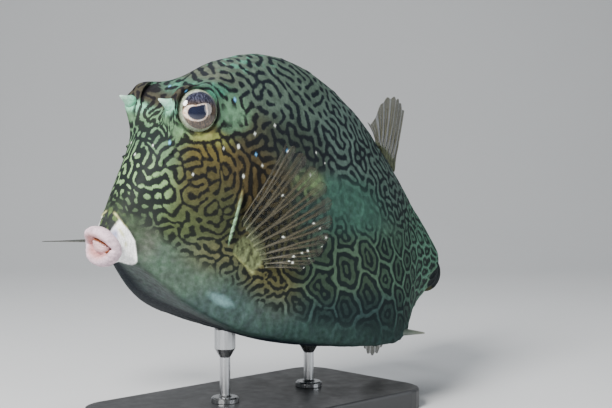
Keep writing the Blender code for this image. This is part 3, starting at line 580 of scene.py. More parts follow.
def darkness(points, station):
    """How much the dark lines widen as they grow: most round the snout, least on the back."""
    snout = 1 - rise(station, 1.7, 1.7)
    behind_gill = blob(points, (90, 96), (24, 18))
    return (0.32 * snout - 0.42 * rise(points[:, 2], 108, 26) + 0.16 * behind_gill + 0.08
            + 0.20 * smooth_noise(points, 22, 5))


def line_width(points):
    """How far the grown lines are then widened or thinned, in the units of their field."""
    x, z = points[..., 0], points[..., 2]
    front = np.maximum(1 - rise(x, 25, 12), blob(points, (30, 112), (14, 14)))
    cheek = blob(points, (50, 86), (24, 25), 0.6) * (1 - front)
    back = rise(z, 108, 20) * rise(x, 62, 14)
    return 0.1 + 0.9 * front - 0.15 * back - 0.9 * cheek - 0.1 * plate_strength(points)


def zigzag(points):
    """Short shifts with sharp turns, which bend the lines to and fro."""
    draw = np.random.default_rng(ZIGZAG_SEED)
    shift = np.zeros(points.shape)
    for _ in range(ZIGZAG_WAVES):
        way, push = draw.normal(size=(2, 3))
        phase = points @ (way / np.linalg.norm(way)) * 2 * np.pi / ZIGZAG_PERIOD + draw.uniform(0, 6.3)
        shift += np.arcsin(np.sin(phase))[:, None] * push / np.linalg.norm(push)
    return ZIGZAG_REACH * shift


def grow_lines():
    """The labyrinth over the whole body: a smooth field on the skin's grid, over 0 where a line is dark."""
    station, row, counts, rings = sample_body()
    lined = np.abs(HALF_ROWS - row) > HALF_ROWS - SIDE_ROWS - 1
    whole = np.zeros(len(row))
    station, row = station[lined], row[lined]
    points = read_table(BODY, station, row)
    scale = line_scale(points)
    width = NEAR_SHARE * LINE_PERIOD * scale
    first, second, gap = neighbours(points, PAIR_REACH * FAR_SHARE * width.max())
    bent = zigzag(points)
    gap = gap + bent[second] - bent[first]
    # Lines run on along the flow, so neighbours that way count as nearer
    along = (gap * line_flow(points, station, row)[first]).sum(1)
    distance = (gap**2).sum(1) - along**2 * (1 - 1 / line_stretch(points)[first] ** 2)
    distance /= 2 * width[first] ** 2
    near = np.exp(-distance)
    far = np.exp(-distance / FAR_SHARE**2)
    size = len(points)
    weight = near / np.bincount(first, near, size)[first] - far / np.bincount(first, far, size)[first]
    half_plate = np.interp(station * STATION_STEPS, np.arange(len(BODY)), HALF_PLATES[:, 0])
    in_plate = 1 - plate_places(points, station, row)
    in_plate = -np.cos(2 * np.pi * in_plate * half_plate / (LINE_PERIOD * scale))
    on_shell = rise(station - neck_station(row), 0, 1.5)
    force = darkness(points, station) + in_plate * on_shell * plate_strength(points)
    field = np.random.default_rng(SEED).normal(0, 0.3, size)
    for _ in range(GROWTH_STEPS):
        smooth = np.bincount(first, weight * field[second], size)
        field = np.tanh(GROWTH_GAIN * smooth + force)
    whole[lined] = GROWTH_GAIN * np.bincount(first, weight * field[second], size) + force
    return on_grid(whole, counts, rings)


def on_grid(values, counts, rings):
    """Values of the sampled rings read at the skin's own columns and stations."""
    table = np.zeros((len(counts), COLUMNS))
    start = 0
    for ring, count in enumerate(counts):
        wave = np.fft.rfft(values[start : start + count])[: COLUMNS // 2 + 1]
        table[ring] = np.fft.irfft(wave, COLUMNS) * COLUMNS / count
        start += count
    return catmull(table, np.interp(np.arange(len(BODY)), rings, np.arange(len(rings))))


# Colours of the skin

# Patches of the skin, from the snout back: place in x and z, radii, then the ground's and the lines' colour
GROUNDS = (
    ((16, 68), (8, 9), (47, 58, 45), (31, 36, 32)),
    ((21, 60), (8, 12), (60, 68, 57), (42, 46, 43)),
    ((26, 50), (4, 9), (82, 88, 78), (42, 44, 40)),
    ((22, 86), (13, 20), (120, 152, 106), (27, 33, 31)),
    ((30, 102), (9, 12), (76, 106, 84), (28, 35, 34)),
    ((31, 121), (4.5, 3), (128, 194, 162), (30, 40, 35)),
    ((37, 109), (6, 7), (98, 132, 96), (33, 38, 31)),
    # The cheek, and the skin under the eye
    ((46, 90), (14, 20), (72, 67, 42), (25, 25, 24)),
    ((55, 68), (17, 14), (59, 64, 43), (24, 26, 23)),
    ((40, 62), (10, 9), (68, 78, 50), (26, 30, 25)),
    ((50, 107), (12, 3.5), (136, 142, 80), (34, 33, 27)),
    ((50, 100), (14, 5), (98, 88, 48), (26, 25, 23)),
    ((56, 46), (14, 8), (84, 82, 54), (26, 29, 25)),
    # Behind the eye, the brow and the nape
    ((69, 123), (10, 9), (92, 127, 100), (28, 31, 31)),
    ((43, 136), (16, 8), (57, 55, 47), (20, 18, 21)),
    ((34, 129), (8, 6), (56, 53, 43), (20, 18, 21)),
    ((56, 134), (12, 4.5), (64, 110, 92), (22, 32, 33)),
    ((66, 143), (14, 6), (76, 80, 68), (21, 24, 28)),
    # Low at the front
    ((40, 38), (26, 14), (69, 85, 74), (38, 44, 39)),
    ((75, 18), (28, 12), (59, 76, 73), (30, 38, 35)),
    # The shell's back, side and keel
    ((86, 148), (28, 16), (72, 86, 76), (22, 27, 32)),
    ((120, 140), (30, 18), (68, 83, 74), (21, 27, 32)),
    ((165, 120), (32, 20), (73, 90, 84), (22, 28, 33)),
    ((105, 108), (26, 12), (47, 56, 49), (19, 23, 27)),
    ((84, 86), (16, 26), (70, 61, 40), (25, 24, 22)),
    ((92, 42), (16, 20), (80, 78, 50), (25, 26, 22)),
    ((118, 87), (8, 6), (104, 124, 84), (31, 40, 33)),
    ((155, 75), (34, 13), (54, 84, 74), (32, 49, 46)),
    ((150, 42), (40, 16), (64, 83, 67), (24, 33, 33)),
    ((165, 20), (40, 10), (37, 54, 54), (18, 29, 31)),
    ((205, 95), (26, 26), (72, 90, 83), (23, 31, 34)),
    ((200, 45), (30, 26), (62, 87, 73), (22, 32, 32)),
    ((245, 55), (26, 26), (74, 110, 92), (23, 34, 32)),
    ((120, 2), (46, 9), (48, 69, 65), (34, 48, 46)),
    ((190, 0), (46, 9), (40, 60, 58), (28, 42, 41)),
)
GROUND_FALL = 1.6
# Painted shade: the belly's dark colour
BELLY_SHADE = srgb(15, 25, 34)
LOW_FRONT_COLOUR = srgb(78, 84, 86)
TURQUOISE_SHEEN = srgb(72, 146, 122)
COLLAR_COLOUR = srgb(250, 251, 250)
COLLAR_SHADE = srgb(128, 132, 168)
COLLAR_STREAK = srgb(190, 190, 130)
SNOUT_COLOUR = srgb(44, 48, 46)
SNOUT_BLOTCH = srgb(88, 108, 66)
LIP_COLOUR = srgb(200, 176, 186)
LIP_EDGE_COLOUR = srgb(188, 142, 140)
CREASE_SHADE = srgb(84, 40, 46)
TONGUE_COLOUR = srgb(204, 168, 170)
GILL_COLOUR = srgb(150, 196, 156)
GILL_TOP = srgb(140, 124, 66)
PAD_COLOUR = srgb(94, 102, 72)
PAD_RIDGE = srgb(150, 156, 104)
# Painted shade: the dark of the tail stalk and of the shell's rear opening
STALK_SHADE = srgb(13, 21, 25)
STALK_EDGE = srgb(78, 78, 46)
REAR_MARGIN = srgb(96, 122, 98)
LOW_HIGHLIGHT_COLOUR = srgb(120, 158, 160)

# A painted turquoise sheen shows in these patches, a pale painted highlight lies low: place, radii, edge and
# slope where given
SHEEN_PATCHES = (((84, 153), (24, 8)), ((58, 133), (12, 4.5)))
LOW_HIGHLIGHT = ((64, 23), (6, 2.5), 0.6, -0.35)
# Soft blotches between the lines: period, seed, and how far they change red, green and blue
UNEVEN = ((7, 51, np.array((0.07, 0.10, 0.08))), (3.2, 52, np.array((0.10, 0.07, 0.10))))

# The white collar behind the lips reaches this station at these rows from the back's midline
COLLAR_ROWS = (0, 1.5, 2.5, 3.5, 4.6, 5.8, 7.3, 9, 11)
COLLAR_STATIONS = (0.70, 0.66, 0.67, 0.75, 0.96, 1.14, 1.16, 1.2, 1.3)

# The shell's rear opening is painted dark as shade behind this station at these rows
REAR_ROWS = (0, 4.2, 5.2, 6.2, 8.0, 11)
REAR_STATIONS = (14.2, 14.1, 13.75, 13.35, 13.3, 13.4)

# The fleshy pad at the pectoral fin's root: place in x and z, radii, and how far a ridge lies before it
PAD_PLACE = (76.5, 48.5)
PAD_RADII = (10.0, 9.5)
PAD_RIDGE_AT = 6.0
PAD_RIDGE_ENDS = (-9.0, 11.5)

# Bright flecks, blue and white: x and z on the left side, then a radius
FLECKS = (
    (srgb(110, 190, 250), ((39.8, 130.2, 1.2), (50.5, 133.5, 1.0), (72, 129.6, 1.3), (33.3, 102.9, 0.9),
                           (82.6, 101.5, 1.0), (104, 104.5, 1.0))),
    (srgb(232, 238, 230), ((61.2, 103.1, 0.9), (71.3, 104.3, 1.3), (82.4, 112.6, 1.0), (97.5, 118, 1.0),
                           (73.6, 89.3, 1.1), (86.0, 95.4, 0.9), (119.1, 92.7, 1.0), (131.9, 99.9, 0.8),
                           (126, 105, 0.9), (44, 88, 0.8), (28.5, 101, 0.8), (22, 96, 0.8))),
)
FLECK_SHAPE = (1.35, 1.35, 1)


def blend_grounds(points):
    """The colours of the ground and of the lines, mixed from the patches near each point."""
    total = np.full(points.shape[:-1], 1e-6)
    ground = np.zeros(points.shape)
    line = np.zeros(points.shape)
    for centre, radii, pale, dark in GROUNDS:
        far = np.hypot((points[..., 0] - centre[0]) / radii[0], (points[..., 2] - centre[1]) / radii[1])
        weight = np.exp(-GROUND_FALL * far**2)
        total += weight
        ground += weight[..., None] * srgb(*pale)
        line += weight[..., None] * srgb(*dark)
    return ground / total[..., None], line / total[..., None]


def mix(a, b, share):
    return a + (b - a) * np.asarray(share)[..., None]


def colour_belly(ground):
    """The belly is painted dark as shade, but at the front the left's pale skin runs on greyer past the
    belly's midline.
    """
    front = 1 - rise(BODY[..., 0], 45, 55)
    below = rise(SIDE_GRID - SIDE_ROWS, -0.4, 1)
    past_keel = ROWS - SIDE_ROWS - ROW_GRID
    # Where the belly is painted dark as shade: under it, and at the front only past its midline
    under = below * rise(past_keel, 4.1 * front - 0.4, 1 + 0.3 * front)
    ground = mix(ground, LOW_FRONT_COLOUR, 0.65 * front * below * rise(past_keel, 0.2, 1.6))
    return mix(ground, BELLY_SHADE, under), under


def colour_side(ground, cover, under):
    """Painted turquoise sheen, blotches between the lines, painted shade towards the keel, and the honeycomb
    of plates.
    """
    # A turquoise sheen painted on the back and the brow
    bright = np.clip(sum(blob(BODY, *place) for place in SHEEN_PATCHES), 0, 1)
    ground = mix(ground, TURQUOISE_SHEEN, 0.45 * bright * rise(smooth_noise(BODY, 6, 13), 0.3, 0.8))
    uneven = sum(smooth_noise(BODY, period, seed)[..., None] * tint for period, seed, tint in UNEVEN)
    ground = ground * (1 + uneven * ((1 - cover) * (1 - under))[..., None])
    # Painted shade: the side darker towards the keel, except where the belly is painted as shade already
    keel = fall(BODY[..., 2], 20, 18) * rise(BODY[..., 0], 50, 20)
    ground = ground * (1 - 0.32 * keel * (1 - under))[..., None]
    # Within the plates low on the rear of the side the ground is darker, with a pale edge between them
    honeycomb = rise(plate_strength(BODY), 0.25, 0.7) * ON_SHELL * cover
    edge = rise(PLATES, 0.84, 0.10)
    return ground * (1 + honeycomb * (0.30 * edge - 0.26 * (1 - edge)))[..., None]


def collar_places():
    """Where the white collar lies, from 0 to 1, and how many stations points lie past its edge."""
    past = STATION_GRID - np.interp(SIDE_GRID, COLLAR_ROWS, COLLAR_STATIONS)
    return (1 - rise(past, -0.02, 0.05)) * rise(SIDE_GRID, 2.1, 0.7), past


def colour_collar(ground):
    """The grey snout over the lips, and the white collar with its olive streak beside and under them."""
    snout = (1 - rise(STATION_GRID, 0.6, 0.5)) * (1 - rise(SIDE_GRID, 4, 2))
    blotches = rise(smooth_noise(BODY, 5, 19), 0.1, 0.9)
    ground = mix(ground, mix(SNOUT_COLOUR, SNOUT_BLOTCH, 0.8 * blotches), snout)
    collar, past = collar_places()
    edge = hill(past, 0, 0.045) * rise(SIDE_GRID, 0.5, 0.8) * fall(SIDE_GRID, 4.6, 0.8)
    ground = mix(ground, COLLAR_STREAK, 0.8 * edge)
    uneven = np.clip(0.75 + 0.5 * smooth_noise(BODY, 5, 8), 0, 1)
    streak = hill(STATION_GRID, 0.62 * (STATION_GRID - past), 0.09) * (1 - rise(SIDE_GRID, 6, 1.2)) * uneven
    shade = (1 - rise(STATION_GRID, 0.22, 0.26)) * hill(SIDE_GRID, 3.8, 1.5)
    white = mix(mix(COLLAR_COLOUR, COLLAR_STREAK, 0.8 * streak), COLLAR_SHADE, 0.85 * shade)
    return mix(ground, white, collar), collar


def pad_places():
    """Where the fleshy pad lies at the pectoral fin's root, and the straight ridge along its lower front."""
    behind, up = BODY[..., 0] - PAD_PLACE[0], BODY[..., 2] - PAD_PLACE[1]
    far = np.hypot(behind / PAD_RADII[0], up / PAD_RADII[1])
    across = 0.6 * behind + 0.8 * up + PAD_RIDGE_AT
    along = 0.8 * behind - 0.6 * up
    start, end = PAD_RIDGE_ENDS
    ridge = hill(across, 0, 0.75) * rise(along, start, 3) * fall(along, end, 3)
    return fall(far, 1.12, 0.22) * rise(across, -0.4, 0.8), ridge


def gill_places():
    """Where the gill opening is painted dark as shade, and where its raised pale front edge is, from 0 to 1.
    """
    ahead = STATION_GRID - (neck_station(ROW_GRID) - GILL_AHEAD)
    across = ahead * norm(np.gradient(BODY, axis=0)) * STATION_STEPS
    low, high = GILL_ROWS
    slit = hill(across, 0, 0.75 * GILL_WIDTH) * rise(SIDE_GRID, low - 0.1, 0.4)
    above = rise(SIDE_GRID, 2.7, 0.9) * fall(SIDE_GRID, high + 0.15, 0.3)
    rim = hill(across, -0.9, 0.31) * above * (0.4 + 0.6 * rise(SIDE_GRID, 3.8, 1.0))
    return slit * fall(SIDE_GRID, high + 0.1, 0.4), rim


def colour_rear(ground, cover):
    """The shell's rear opening painted dark as shade, low behind its pale margin, with an olive band under
    it.
    """
    past = STATION_GRID - np.interp(SIDE_GRID, REAR_ROWS, REAR_STATIONS)
    rear_shade = rise(past, 0, 0.06)
    margin = hill(past, -0.10, 0.07) * rise(SIDE_GRID, 4.4, 0.8)
    band = hill(SIDE_GRID, 9.4, 0.5) * rise(STATION_GRID, 13.4, 0.2)
    ground = mix(ground, REAR_MARGIN, 0.6 * margin)
    return mix(ground, mix(STALK_SHADE, STALK_EDGE, band), rear_shade), cover * (1 - rear_shade) * (1 - margin)


def colour_features(ground, cover):
    """The collar, the fin's pad, and painted shade in the gill opening, round the eye's socket and in the
    shell's rear opening.
    """
    ground, collar = colour_collar(ground)
    pad, ridge = pad_places()
    blotches = 1 + 0.30 * smooth_noise(BODY, 3.6, 31) + 0.20 * smooth_noise(BODY, 1.7, 32)
    ground = mix(ground, PAD_COLOUR * blotches[..., None], 0.85 * pad)
    ground = mix(ground, PAD_RIDGE, 0.8 * ridge)
    slit, rim = gill_places()
    ground = mix(ground, mix(GILL_TOP, GILL_COLOUR, rise(SIDE_GRID, 3.8, 0.8)), rim)
    # Painted shade: the gill opening darkened
    ground = mix(ground, 0.12 * ground, slit)
    out, across = round_eye(BODY)
    # Painted shade: a dark ring round the eye, where its socket meets it
    ground = mix(ground, 0.25 * ground, 0.8 * hill(across, 11.9, 0.45) * (out > -6))
    return colour_rear(ground, cover * (1 - collar) * (1 - pad) * (1 - ridge) * (1 - rim))


def fleck_places():
    """Where the flecks show, from 0 to 1, and their colours."""
    fleck, colour = np.zeros(BODY.shape[:-1]), np.zeros(BODY.shape)
    places = [(tint, *spot, side) for tint, spots in FLECKS for spot in spots for side in (1, -1)]
    for tint, x, z, radius, side in places:
        away = (BODY - side_point(x, z) * [1, side, 1]) * FLECK_SHAPE
        spot = np.exp(-((norm(away) / radius) ** 4))
        fleck = np.maximum(fleck, spot)
        colour = mix(colour, tint, np.minimum(1, 3 * spot))
    return fleck, colour


def skin_markings(lines):
    """The grids of the skin's colours and of how far its lines and flecks show."""
    ground, line = blend_grounds(BODY)
    ground, under = colour_belly(ground)
    cover = line_cover(BODY, STATION_GRID, SIDE_GRID)
    cover = np.clip(cover + 0.9 * smooth_noise(BODY, 12, 3) * cover * (1 - cover), 0, 1)
    ground = colour_side(ground, cover, under)
    ground, cover = colour_features(ground, cover)
    # A pale bluish highlight painted low on the front of the side
    ground = mix(ground, LOW_HIGHLIGHT_COLOUR, 0.55 * blob(BODY, *LOW_HIGHLIGHT))
    fleck, glint = fleck_places()
    ink = lines + line_width(BODY)
    return {"ground": ground, "line": line, "cover": cover, "ink": ink, "fleck": fleck, "glint": glint}


# Relief of the skin

GILL_RIM_RISE = 0.35
PAD_RISE = 0.7
PAD_UNEVEN = 0.25
RIDGE_RISE = 0.5
COLLAR_RISE = 0.45
COLLAR_GROOVE = 0.55
COLLAR_WRINKLE = 0.08
SNOUT_WRINKLE = 0.07
NOSTRIL_RISE = 0.3
NOSTRIL_DEPTH = 1.4


def fold_relief():
    """The gill opening, the fin's pad, the collar's raised edge, wrinkles round the snout, and nostrils."""
    slit, rim = gill_places()
    pad, ridge = pad_places()
    collar, past = collar_places()
    lift = GILL_RIM_RISE * rim - GILL_DEPTH * slit + RIDGE_RISE * ridge
    lift = lift + PAD_RISE * pad * (1 + PAD_UNEVEN * smooth_noise(BODY, 5, 33))
    edge = COLLAR_RISE * hill(past, -0.07, 0.08) - COLLAR_GROOVE * hill(past, 0.05, 0.05)
    lift = lift + edge * rise(SIDE_GRID, 1.6, 0.8)
    lift = lift + COLLAR_WRINKLE * collar * np.sin(STATION_GRID * 46 + 2 * np.sin(ROW_GRID * 3))
    wrinkled = (1 - rise(STATION_GRID, 0.75, 0.5)) * (1 - rise(SIDE_GRID, 3.5, 1.5))
    lift = lift + SNOUT_WRINKLE * wrinkled * np.sin(STATION_GRID * 38 + 1.8 * smooth_noise(BODY, 9, 17))
    for x, z in NOSTRILS:
        for side in (1, -1):
            away = norm(BODY - side_point(x, z) * [1, side, 1])
            lift = lift + NOSTRIL_RISE * hill(away, 1.7, 0.6) - NOSTRIL_DEPTH * hill(away, 0, NOSTRIL_RADIUS)
    return lift


def skin_relief():
    """How far the skin stands off the body's surface: the shell's plates, and the folds."""
    neck = neck_station(ROW_GRID)
    groove = hill((1 - PLATES) * HALF_PLATES, 0, GROOVE_WIDTH)
    crown = (PLATE_CROWN - PLATE_RISE) * (1 - np.clip(PLATES, 0, 1) ** 2)
    on_shell = rise(STATION_GRID - neck, 0, 0.15) * fall(STATION_GRID, RIM_STATION, 0.25)
    head = PLATE_RISE * smoothstep(4 * STATION_GRID / neck)
    return head + on_shell * (crown - GROOVE_DEPTH * groove) + fold_relief()


# Meshes

def room(points):
    """Points of the fish's frame in the room, in metres."""
    turn = np.array(POSE)
    return np.asarray(points, float).reshape(-1, 3) * MM @ turn[:3, :3].T + turn[:3, 3]


def grid_faces(rings, columns, closed=True):
    """Quads between neighbouring rings of a grid, which may be closed round."""
    i = np.arange(rings - 1)[:, None]
    j = np.arange(columns if closed else columns - 1)[None]
    k = (j + 1) % columns
    return np.stack([i * columns + j, i * columns + k, (i + 1) * columns + k, (i + 1) * columns + j],
                    -1).reshape(-1, 4)


def tube_faces(rings, columns):
    """Quads between closed rings, and at both ends triangles to the two points that follow the rings."""
    count = rings * columns
    j = np.arange(columns)
    k = (j + 1) % columns
    start = np.stack([k, j, np.full(columns, count)], 1)
    end = np.stack([count - columns + j, count - columns + k, np.full(columns, count + 1)], 1)
    return grid_faces(rings, columns).tolist() + start.tolist() + end.tolist()


def link(obj):
    bpy.context.scene.collection.objects.link(obj)
    return obj


def add_field(mesh, key, values):
    """A value or a colour for each point of a mesh, which its material reads."""
    values = np.asarray(values, np.float32)
    if values.ndim == 2:
        values = np.concatenate([values, np.ones((len(values), 1), np.float32)], 1)
        mesh.attributes.new(key, "FLOAT_COLOR", "POINT").data.foreach_set("color", values.ravel())
    else:
        mesh.attributes.new(key, "FLOAT", "POINT").data.foreach_set("value", values)


def add_mesh(name, points, faces, paint, fields=None, replaces=()):
    """A piece from points in the fish's frame, with its material, fields and the solids it stands for."""
    mesh = bpy.data.meshes.new(name)
    mesh.from_pydata(room(points).tolist(), [], [list(f) for f in faces])
    bm = bmesh.new()
    bm.from_mesh(mesh)
    bmesh.ops.recalc_face_normals(bm, faces=bm.faces)
    bm.to_mesh(mesh)
    bm.free()
    for key, values in (fields or {}).items():
        add_field(mesh, key, values)
    mesh.shade_smooth()
    mesh.materials.append(paint)
    obj = link(bpy.data.objects.new(name, mesh))
    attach(obj, "root")
    if replaces:
        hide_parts(*replaces)


# Materials

class Paint:
    """A node material that is built up step by step."""

    def __init__(self, name, **shader):
        self.material = bpy.data.materials.new(name)
        self.material.use_nodes = True
        self.tree = self.material.node_tree
        self.shader = self.tree.nodes["Principled BSDF"]
        self.finish(**shader)

    def node(self, kind, outlet=0, inlets=(), **settings):
        """Adds a node, sets its properties, feeds its inlets by index or name, and gives its outlet."""
        made = self.tree.nodes.new("ShaderNode" + kind)
        for key, value in settings.items():
            setattr(made, key, value)
        for key, value in dict(inlets).items():
            self.feed(made.inputs[key], value)
        return made.outputs[outlet]

    def feed(self, inlet, value):
        if isinstance(value, bpy.types.NodeSocket):
            self.tree.links.new(value, inlet)
        else:
            inlet.default_value = value

    def field(self, name, colour=False):
        return self.node("Attribute", 0 if colour else 2, attribute_name=name)

    def noise(self, scale, detail=3.0, roughness=0.55, stretch=None):
        where = self.node("TexCoord", 3)
        if stretch:
            where = self.node("Mapping", inlets={"Vector": where, "Scale": stretch})
        inlets = {"Vector": where, "Scale": scale, "Detail": detail, "Roughness": roughness}
        return self.node("TexNoise", inlets=inlets)

    def maths(self, operation, *values):
        return self.node("Math", operation=operation, inlets=dict(enumerate(values)))

    def span(self, value, low, high, to_low=0.0, to_high=1.0, smooth=False):
        """A value's range between low and high turned into another, and held at its ends."""
        kind = "SMOOTHSTEP" if smooth else "LINEAR"
        inlets = {0: value, 1: low, 2: high, 3: to_low, 4: to_high}
        return self.node("MapRange", interpolation_type=kind, inlets=inlets)

    def mix(self, share, a, b, blend="MIX"):
        colours = [(*c, 1) if isinstance(c, (tuple, np.ndarray)) else c for c in (a, b)]
        inlets = {0: share, 6: colours[0], 7: colours[1]}
        return self.node("Mix", 2, inlets, data_type="RGBA", blend_type=blend)

    def bump(self, height, strength, distance, below=None):
        inlets = {"Height": height, "Strength": strength, "Distance": distance}
        if below:
            inlets["Normal"] = below
        return self.node("Bump", inlets=inlets)

    def rough(self, value, low, high):
        """The shader's roughness, from low to high with a noise value."""
        return self.span(value, 0.3, 0.7, low, high)

    def finish(self, **inlets):
        for key, value in inlets.items():
            self.feed(self.shader.inputs[key.replace("_", " ").title().replace("Ior", "IOR")], value)
        return self.material


def skin_paint():
    """Skin: pale ground with dark lines, fine mottling, a granular surface and a wet sheen."""
    paint = Paint("skin", ior=1.36, specular_ior_level=0.12, coat_weight=0.02, coat_roughness=0.4)
    ragged = paint.maths("MULTIPLY_ADD", paint.noise(750, 4, 0.65), 6.0, -3.0)
    ink = paint.maths("ADD", paint.field("ink"), ragged)
    dark = paint.maths("MULTIPLY", paint.span(ink, -1.2, 1.3, smooth=True), paint.field("cover"))
    ground = paint.field("ground", colour=True)
    mottle = paint.span(paint.noise(330, 5, 0.65), 0.28, 0.72, 0.66, 1.30)
    fine = paint.span(paint.noise(1900, 3, 0.7), 0.3, 0.7, 0.86, 1.14)
    for shade in (mottle, fine):
        ground = paint.mix(1.0, ground, shade, "MULTIPLY")
    line = paint.mix(1.0, paint.field("line", colour=True), fine, "MULTIPLY")
    colour = paint.mix(dark, ground, line)
    colour = paint.mix(paint.field("fleck"), colour, paint.field("glint", colour=True))
    height = paint.maths("MULTIPLY_ADD", dark, -0.35, paint.noise(2600, 3, 0.6))
    folds = paint.bump(paint.noise(520, 3, 0.6), 0.25, 0.0004)
    normal = paint.bump(height, 0.35, 0.0002, folds)
    return paint.finish(base_color=colour, roughness=paint.rough(paint.noise(700, 3), 0.54, 0.70),
                        normal=normal)


def spike_paint(name, root, tip):
    """A horn or spine: spotted, and paler towards its tip."""
    paint = Paint(name, ior=1.4, coat_weight=0.15, coat_roughness=0.25)
    spots = paint.span(paint.noise(620, 3, 0.6), 0.42, 0.58, smooth=True)
    shade = paint.field("shade")
    spots = paint.maths("MULTIPLY", spots, paint.span(shade, 0, 1, 0.45, 0.15))
    colour = paint.mix(spots, paint.mix(shade, root, tip), 0.35 * root)
    return paint.finish(base_color=colour, normal=paint.bump(paint.noise(1300, 3), 0.3, 0.0002),
                        roughness=paint.rough(paint.noise(900), 0.3, 0.5))


def teeth_paint():
    paint = Paint("teeth", ior=1.5, coat_weight=0.3, coat_roughness=0.1)
    colour = paint.mix(paint.noise(1500, 3), srgb(150, 84, 44), srgb(104, 52, 32))
    return paint.finish(base_color=colour, roughness=paint.rough(paint.noise(2500), 0.2, 0.4))


def eye_paint():
    """A glossy eye: dark blue pupil, a bright ring round it, a mottled iris and a pale outer rim."""
    paint = Paint("eye", roughness=0.12, ior=1.38, coat_weight=1.0, coat_roughness=0.02)
    mottle = paint.noise(700, 4, 0.7)
    light = paint.span(paint.noise(420, 4, 0.75, stretch=(3.0, 3.0, 0.5)), 0.46, 0.66)
    pupil = paint.mix(paint.noise(1600, 3), srgb(10, 12, 26), srgb(32, 38, 62))
    bright = paint.mix(paint.span(mottle, 0.4, 0.66), srgb(238, 226, 216), srgb(196, 150, 112))
    iris_low = paint.mix(light, srgb(50, 40, 32), srgb(116, 96, 78))
    iris_high = paint.mix(light, srgb(26, 27, 42), srgb(78, 80, 98))
    colour = paint.mix(paint.field("up"), iris_low, iris_high)
    rim = paint.mix(paint.span(mottle, 0.35, 0.7), srgb(108, 122, 96), srgb(172, 180, 162))
    for name, part in (("rim", rim), ("bright", bright), ("pupil", pupil)):
        colour = paint.mix(paint.field(name), colour, part)
    return paint.finish(base_color=colour, normal=paint.bump(mottle, 0.15, 0.0001))


def fin_paint(name, ray, web, web_alpha, root, tip_alpha):
    """A fin: firm rays with fine cross bands in a clear web, a fleshy root, and tips that fade away."""
    paint = Paint(name, ior=1.36)
    rays, reach, fleck = (paint.field(key) for key in ("ray", "reach", "fleck"))
    along = paint.node("CombineXYZ", inlets={0: reach})
    bands = paint.node("TexWave", 1, {"Vector": along, "Scale": 9.0, "Distortion": 0.6}, wave_type="BANDS")
    ray_colour = paint.mix(paint.span(bands, 0.2, 0.8, 0.0, 0.5), ray, 0.45 * ray)
    web_colour = paint.mix(paint.span(paint.noise(500, 4, 0.6), 0.35, 0.65), web, 0.6 * web)
    fleshy = paint.span(reach, 0.10, 0.26, 1.0, 0.0, smooth=True)
    flesh = paint.mix(paint.span(paint.noise(560, 4, 0.65), 0.42, 0.60), 0.55 * root, root)
    colour = paint.mix(fleshy, paint.mix(rays, web_colour, ray_colour), flesh)
    colour = paint.mix(fleck, colour, srgb(226, 232, 222))
    alpha = paint.span(rays, 0, 1, web_alpha, 0.9)
    alpha = paint.maths("MULTIPLY", alpha, paint.span(reach, 0.45, 1.0, 1.0, tip_alpha, smooth=True))
    alpha = paint.maths("MAXIMUM", alpha, paint.maths("MAXIMUM", fleshy, fleck))
    return paint.finish(base_color=colour, alpha=alpha, normal=paint.bump(rays, 0.3, 0.0002),
                        roughness=paint.rough(paint.noise(300), 0.34, 0.5))


def base_paint():
    """Satin black moulded plastic."""
    paint = Paint("stand_base_plastic", ior=1.49)
    colour = paint.mix(paint.noise(60, 4), (0.020, 0.021, 0.023), (0.030, 0.031, 0.034))
    return paint.finish(base_color=colour, normal=paint.bump(paint.noise(2200, 2, 0.5), 0.12, 0.0001),
                        roughness=paint.rough(paint.noise(140, 5), 0.36, 0.48))


def rod_paint():
    """Brushed steel, drawn along the rod."""
    paint = Paint("stand_rod_steel", metallic=1.0)
    streak = paint.noise(900, 4, 0.6, stretch=(1, 1, 0.03))
    colour = paint.mix(streak, (0.42, 0.43, 0.45), (0.60, 0.61, 0.62))
    return paint.finish(base_color=colour, normal=paint.bump(streak, 0.12, 0.0001),
                        roughness=paint.rough(streak, 0.22, 0.38))


def floor_paint():
    paint = Paint("floor")
    colour = paint.mix(paint.noise(3, 3), (0.56, 0.57, 0.58), (0.60, 0.61, 0.62))
    return paint.finish(base_color=colour, roughness=paint.rough(paint.noise(20), 0.75, 0.9))


# Skin with lips, mouth and tail stalk in one surface

def lip_lean(high):
    """How far back the lips stand at a height: the upper lip a little forward, the lower one well back."""
    return np.where(high > 0, -LIP_LEAN, -LOWER_LIP_BACK) * high


